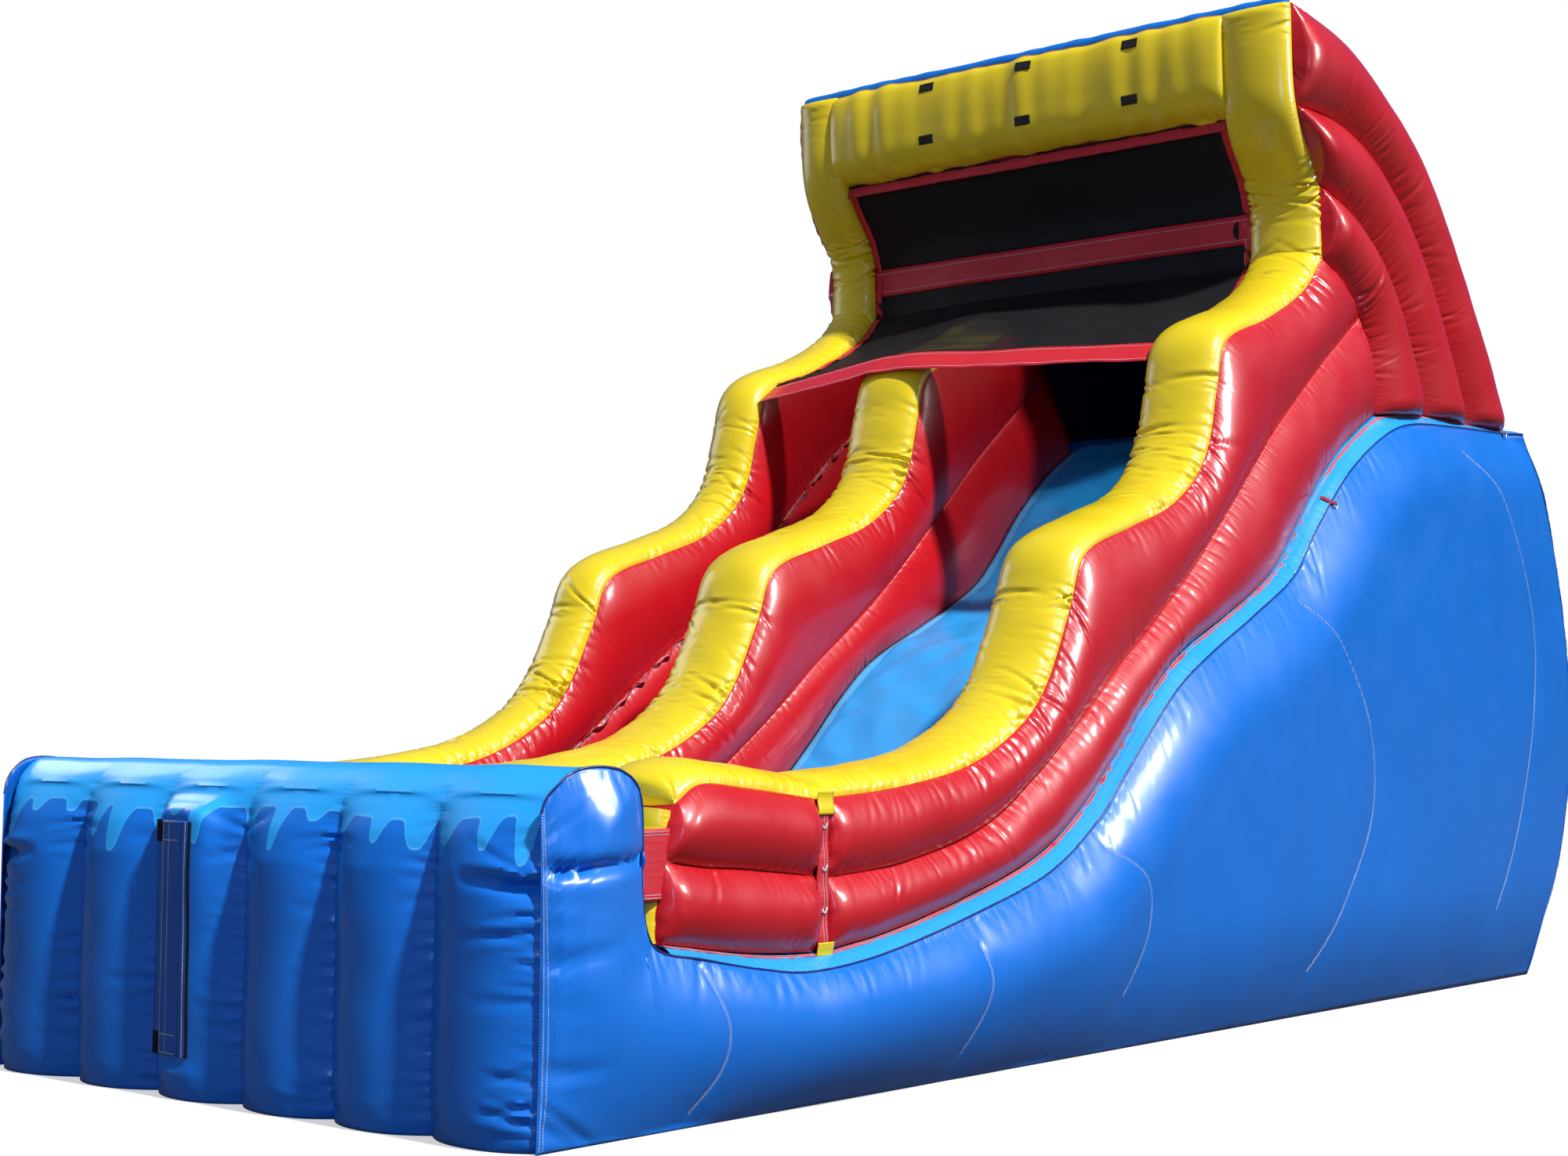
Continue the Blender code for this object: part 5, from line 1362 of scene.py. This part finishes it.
def on_bumper(right, up, lift):
    """Points a little in front of the bumper's cloth, from distances to the right and up at the port."""
    x, z = np.broadcast_arrays(port_centre[0] + right, port_centre[2] + up)
    columns = np.interp(-x.ravel(), -bumper_x, np.arange(len(bumper_x)))
    rows = [np.interp(height_here, bumper[:72, round(column), 2], np.arange(72))
            for height_here, column in zip(z.ravel(), columns)]
    return on_grid(bumper, np.array(rows), columns).reshape(*x.shape, 3) + np.multiply.outer(lift + 0 * x, [0, -1, 0])


margin_up = np.linspace(*flap_up, 120)[:, None]
margin = on_bumper(np.linspace(0.125, hinge_right, 9)[None], margin_up, np.linspace(0.0016, 0.009, 9))
placed(grid_piece("port_margin", margin, flap_vinyl, marks={"seam": 0.5}, thickness=0.0025), "blue_vinyl")
edge_tape = on_bumper(np.linspace(0.137, 0.117, 4)[None], margin_up, 0.0022)
placed(grid_piece("port_edge_tape", edge_tape, hook_tape, thickness=0.0015), "black_hook_tape")
rows = [(at_port(off, 0.0126, upright), port_outs) for off in (-0.082, -0.035)]
level = np.linspace(flap_left + 0.006, 0.050, 40)
rows += [(at_port(level, 0.0126, up), port_outs[:40]) for up in (-0.470, -0.395, 0.395, 0.470)]
stitch_piece("port_flap_stitches", rows, "blue_vinyl", body="port_flap", pitch=0.010, width=0.0045)
margin_out = np.broadcast_to([0, -1.0, 0], (120, 3))
stitch_piece("port_margin_stitches", [(margin[:, 3] - [0, 0.001, 0], margin_out)], "blue_vinyl",
             pitch=0.010, width=0.0045)
for place, up in (("upper", 0.433), ("lower", -0.433)):
    for label, right, out, body in (("hook", (-0.15, -0.125), 0.006, "slide"),
                                    ("loop", (-0.128, -0.086), 0.0142, "port_flap")):
        piece = grid_piece(f"port_{place}_{label}", port_grid(right, (up - 0.045, up + 0.045), out, (10, 6)), hook_tape,
                           thickness=0.0015)
        placed(piece, "black_hook_tape", body=body)

# %% [markdown]
# ## Laced joint, joining flap and tethers
# The landing's wall is laced to the slide's wall and tied to the bumper by a flap. Four webbing straps on the
# panels' upper edges hold D-rings, by which the slide is tied down.

# %% Laced joint and joining flap
joint_z = np.linspace(0.612, 1.231, 90)
strip_y = np.linspace(-2.776, -2.702, 9)
strip = np.dstack([np.full((90, 9), joint_x), np.broadcast_to(strip_y, (90, 9)),
                   np.broadcast_to(joint_z[:, None], (90, 9))])
strip[..., 0] += 0.010 * np.sin(np.pi * (strip_y - strip_y[0]) / 0.074)[None] + 0.003 * np.sin(joint_z * 40)[:, None]
piece = grid_piece("lacing_strip_vinyl", strip[:, ::-1], hem_vinyl, marks={"seam": 0.6}, thickness=0.004)
placed(piece, "hem_vinyl", "lacing_strip")
strip_out = np.broadcast_to([1.0, 0, 0], (90, 3))
stitch_piece("lacing_stitches", [(strip[:, k] + [0.001, 0, 0], strip_out) for k in (3, 5)], "hem_vinyl")
turn = np.linspace(0, 2 * math.pi, 40)
knots = [np.column_stack([joint_x + 0.008 + 0.008 * np.sin(turn), -2.739 + 0.012 * np.cos(turn),
                          z + 0.01 * np.sin(2 * turn)]) for z in (0.78, 0.95, 1.12)]
for number, path in enumerate(knots):
    piping_piece(f"lacing_knot_{number + 1}", path, 0.004, thread_white, "hem_vinyl")
for name, line, left, right, crown, seed in (
    ("joint_cap", [(-2.83, 1.228), (-2.65, 1.228)], right_inner + 0.01, wall_outer - 0.004, 0.088, 980),
    ("pool_cap_front", [(-3.700, 0.705), (-3.672, 0.95), (-3.622, 1.20)], right_inner, 1.728, 0.085, 985),
):
    (line,) = evenly(station, smooth(line, 12))
    grid, seam = crown_strip(line, left, right, crown, seed, power=0.7)
    placed(tube_piece(name, grid, seam, yellow_vinyl), "yellow_vinyl", fill=0.9)
tab_widening, tab_shift = 1.35, 0.958
for place, low, high in (("top", 1.165, 1.262), ("foot", 0.598, 0.652)):
    tab_z = np.linspace(low, high, 12)
    tab = np.dstack([np.broadcast_to(joint_x + 0.016 + 0.004 * np.sin(tab_z * 60)[:, None], (12, 9)),
                     np.broadcast_to(strip_y * tab_widening + tab_shift, (12, 9)),
                     np.broadcast_to(tab_z[:, None], (12, 9))])
    piece = grid_piece(f"joint_tab_{place}", tab[:, ::-1], yellow_vinyl, marks={"seam": 0.6}, thickness=0.003)
    placed(piece, "yellow_vinyl")
flap_z = np.linspace(0.865, 1.135, 24)
flap_near = np.interp(flap_z, [0.6985, 0.904, 1.164], [-3.812, -3.850, -3.855])
flap_far = np.interp(flap_z, [0.6985, 1.012, 1.2265], [-3.690, -3.645, -3.600]) + 0.03
share = np.linspace(0, 1, 16)
flap_y = flap_near[:, None] * (1 - share) + flap_far[:, None] * share
joining = np.dstack([1.735 + 0.010 * np.sin(np.pi * share)[None] + 0 * flap_y, flap_y, flap_z[:, None] + 0 * flap_y])
piece = grid_piece("joining_flap_vinyl", joining[:, ::-1], hem_vinyl, marks={"seam": 0.5}, thickness=0.004)
placed(piece, "hem_vinyl", "joining_flap")
joining_out = np.broadcast_to([1.0, 0, 0], (16, 3))
stitch_piece("joining_flap_stitches", [(joining[k] + [0.001, 0, 0], joining_out) for k in (1, 2, -3, -2)],
             "hem_vinyl")

# %% Tether straps and rings
strap_width, strap_skin, ring_wire, ring_play, strap_reach = 0.025, 0.0025, 0.003, 0.0006, 0.016
steel, tree, shader = new_material("steel_wire")
place = add(tree, "ShaderNodeTexCoord").outputs["Object"]
grain = noise(tree, place, 180.0, 4.0)
tree.links.new(rescaled(tree, grain, 0.3, 0.7, 0.22, 0.42), shader.inputs["Roughness"])
tree.links.new(blended(tree, grain, (0.30, 0.31, 0.33, 1), (0.48, 0.49, 0.51, 1)), shader.inputs["Base Color"])
shader.inputs["Metallic"].default_value = 1.0
ring_nodes = [f"{side}_{place}_tether_ring" for side in ("left", "right") for place in ("front", "rear")]
for node in ("zip_slider", *ring_nodes):
    frame["nodes"][node].data.materials.clear()
    frame["nodes"][node].data.materials.append(steel)


def strap_grid(pivot, axis):
    """The strap's path goes over the trim, out past its edge and round the ring's wire for most of a turn."""
    loop_radius = ring_wire + ring_play + strap_skin / 2
    slope = math.atan2(axis[2], axis[1])
    upward = np.array([0, -math.sin(slope), math.cos(slope)])
    along = np.array([0, math.cos(slope), math.sin(slope)])
    edge = np.array([pivot[0] - strap_reach, *pivot[1:]]) + upward * (loop_radius - strap_skin / 2 - 0.0003)
    inner_z = np.interp(edge[1], *edge_line.T)
    reach, drop = edge[0] - 1.7003, (inner_z - edge[2]) * math.cos(slope)
    over = [(-0.40 * reach, 0.40 * drop + 0.016), (-0.2 * reach, 0.2 * drop + 0.018), (0, strap_skin / 2 + 0.002)]
    turn = math.pi / 2 - math.radians(300) * np.linspace(0, 1, 25)
    centre = (strap_reach, strap_skin / 2 - loop_radius)
    loop = np.column_stack([centre[0] + loop_radius * np.cos(turn), centre[1] + loop_radius * np.sin(turn)])
    line = np.vstack([smooth(np.vstack([over, loop[:1]]), 10)[:-1], loop])
    line[:, 1] += 0.0003
    shift = np.linspace(-strap_width / 2, strap_width / 2, 5)
    middle = edge + line[:, :1] * [1, 0, 0] + line[:, 1:] * upward
    return middle[::-1, None] + shift[None, :, None] * along


rings = {joint["name"]: joint for joint in frame["joints"]}
for place in ("front", "rear"):
    joint = rings[f"right_{place}_ring_swing"]
    grid = strap_grid(joint["pos_m"], np.abs(joint["axis"]))
    for side, half in (("right", grid), ("left", mirrored(grid))):
        if facing(half)[-1, 2, 2] < 0:
            half = half[::-1]
        piece = grid_piece(f"{side}_{place}_strap_webbing", half + facing(half) * strap_skin / 2, webbing,
                           thickness=strap_skin)
        placed(piece, "red_webbing", f"{side}_{place}_tether_strap")

# %% Air tube
def tube_grid():
    """Rings of an open sleeve: radius x (1 + folds), flattened a little where it lies on the ground."""
    y = np.linspace(rear + 0.004, rear + 0.60, 72)
    turn = np.linspace(0, 2 * math.pi, 81)[:-1]
    along, around = np.meshgrid(y - y[0], turn * 0.15, indexing="ij")
    radius = 0.149 + unevenness(along, around, 990, size=0.003, shortest=0.1, longest=0.5)
    radius = radius + folds(around.T, along.T, np.ones(len(turn)), 991, spacing=0.045, reach=0.3, depth=0.010).T
    radius = np.minimum(radius, 0.1505)
    x = -1.088 + radius * np.cos(turn)
    z = 0.1505 + radius * np.sin(turn)
    return np.dstack([x, np.broadcast_to(y[:, None], x.shape), np.maximum(z, 0.0015)])


piece = grid_piece("inflation_tube_vinyl", tube_grid(), blue_vinyl, closed=True, marks={"seam": 0.5}, thickness=0.003)
placed(piece, "blue_vinyl", "inflation_tube")
print("details made")

# %% [markdown]
# ## Camera, light and floor
# The camera stands where the photographer stood, a step to the right of the slide and low. A far lamp
# gives the sun's hard shadows. Another one, which is seen only in reflections, gives the wide highlights of
# glossy vinyl.

# %% Camera
camera_place = (7.883, -10.258, 1.498)
yaw, pitch, roll = (math.radians(v) for v in (40.163, 3.703, 0.253))
look = np.array([-math.sin(yaw) * math.cos(pitch), math.cos(yaw) * math.cos(pitch), math.sin(pitch)])
side_way = np.array([math.cos(yaw), math.sin(yaw), 0])
up_way = np.cross(side_way, look)
turned_side = side_way * math.cos(roll) + up_way * math.sin(roll)
turned_up = up_way * math.cos(roll) - side_way * math.sin(roll)
camera_data = bpy.data.cameras.new("camera")
camera_data.sensor_width = 36.0
camera_data.lens = 54.702
camera_data.clip_end = 500.0
camera = bpy.data.objects.new("camera", camera_data)
pose = np.eye(4)
pose[:3, 0], pose[:3, 1], pose[:3, 2], pose[:3, 3] = turned_side, turned_up, -look, camera_place
camera.matrix_world = Matrix(pose.tolist())
bpy.context.scene.collection.objects.link(camera)
bpy.context.scene.camera = camera

# %% Lamps, world and floor
def lamp(name, place, target, size, power, colour=(1, 1, 1)):
    """A square area lamp that faces its target."""
    data = bpy.data.lights.new(name, "AREA")
    data.shape, data.size, data.energy, data.color = "SQUARE", size, power, colour
    made = bpy.data.objects.new(name, data)
    made.location = place
    back = np.array(place, float) - np.array(target, float)
    back /= np.linalg.norm(back)
    right = np.cross((0, 0, 1), back)
    right /= np.linalg.norm(right)
    way = Matrix(np.column_stack([right, np.cross(back, right), back]).tolist())
    made.rotation_euler = way.to_euler()
    bpy.context.scene.collection.objects.link(made)
    return made


lamp("key", (38.2, -5.9, 47.8), (0, -0.5, 1.8), 3.2, 50500)
lamp("fill", (11.0, -14.0, 5.0), (0, 0, 2), 4.0, 270, (0.55, 0.85, 1.5))
lamp("left", (-11.0, -2.0, 7.0), (0, 0, 2), 4.0, 160)
lamp("sheen", (13.6, 3.6, 8.1), (1.8, 0.0, 1.6), 3.8, 2100).visible_diffuse = False

ambient = 0.25
world = bpy.data.worlds.new("studio")
bpy.context.scene.world = world
world.use_nodes = True
world_tree = world.node_tree
light_path = add(world_tree, "ShaderNodeLightPath").outputs
seen = maths(world_tree, "MAXIMUM", light_path["Is Camera Ray"], light_path["Is Transmission Ray"])
sky = blended(world_tree, light_path["Is Glossy Ray"], (ambient, ambient, 1.15 * ambient, 1), (0.03, 0.09, 0.22, 1))
world_tree.links.new(blended(world_tree, seen, sky, (1, 1, 1, 1)), world_tree.nodes["Background"].inputs["Color"])

floor_mesh = bpy.data.meshes.new("floor")
floor_mesh.from_pydata([(-150, -150, 0), (150, -150, 0), (150, 150, 0), (-150, 150, 0)], [], [(0, 1, 2, 3)])
floor_material, floor_tree, floor_shader = new_material("floor_finish")
floor_place = add(floor_tree, "ShaderNodeTexCoord").outputs["Object"]
grain = noise(floor_tree, floor_place, 2.0, 2.0)
paths = add(floor_tree, "ShaderNodeLightPath").outputs
studio_white = blended(floor_tree, grain, (0.86, 0.86, 0.86, 1), (0.90, 0.90, 0.90, 1))
floor_tree.links.new(blended(floor_tree, paths["Is Camera Ray"], (0.05, 0.05, 0.05, 1), studio_white),
                     floor_shader.inputs["Base Color"])
floor_shader.inputs["Roughness"].default_value = 0.9
floor_shader.inputs["Specular IOR Level"].default_value = 0.1
away = add(floor_tree, "ShaderNodeVectorMath", {0: floor_place}, operation="LENGTH").outputs["Value"]
glint = maths(floor_tree, "MULTIPLY", paths["Is Glossy Ray"], 0.08)
sight = maths(floor_tree, "MAXIMUM", paths["Is Camera Ray"], glint)
sight = maths(floor_tree, "MAXIMUM", sight, paths["Is Transmission Ray"])
whiter = maths(floor_tree, "MULTIPLY", rescaled(floor_tree, away, 4.0, 11.0, 0.55, 1.0), sight)
glow = add(floor_tree, "ShaderNodeEmission", {"Color": (1, 1, 1, 1), "Strength": 1.0}).outputs[0]
mixed = add(floor_tree, "ShaderNodeMixShader", {0: whiter, 1: floor_shader.outputs[0], 2: glow}).outputs[0]
floor_tree.links.new(mixed, floor_tree.nodes["Material Output"].inputs["Surface"])
floor_mesh.materials.append(floor_material)
floor = bpy.data.objects.new("floor", floor_mesh)
floor.location = (0, 0, -0.001)
bpy.context.scene.collection.objects.link(floor)

bpy.context.scene.view_settings.view_transform = "Standard"
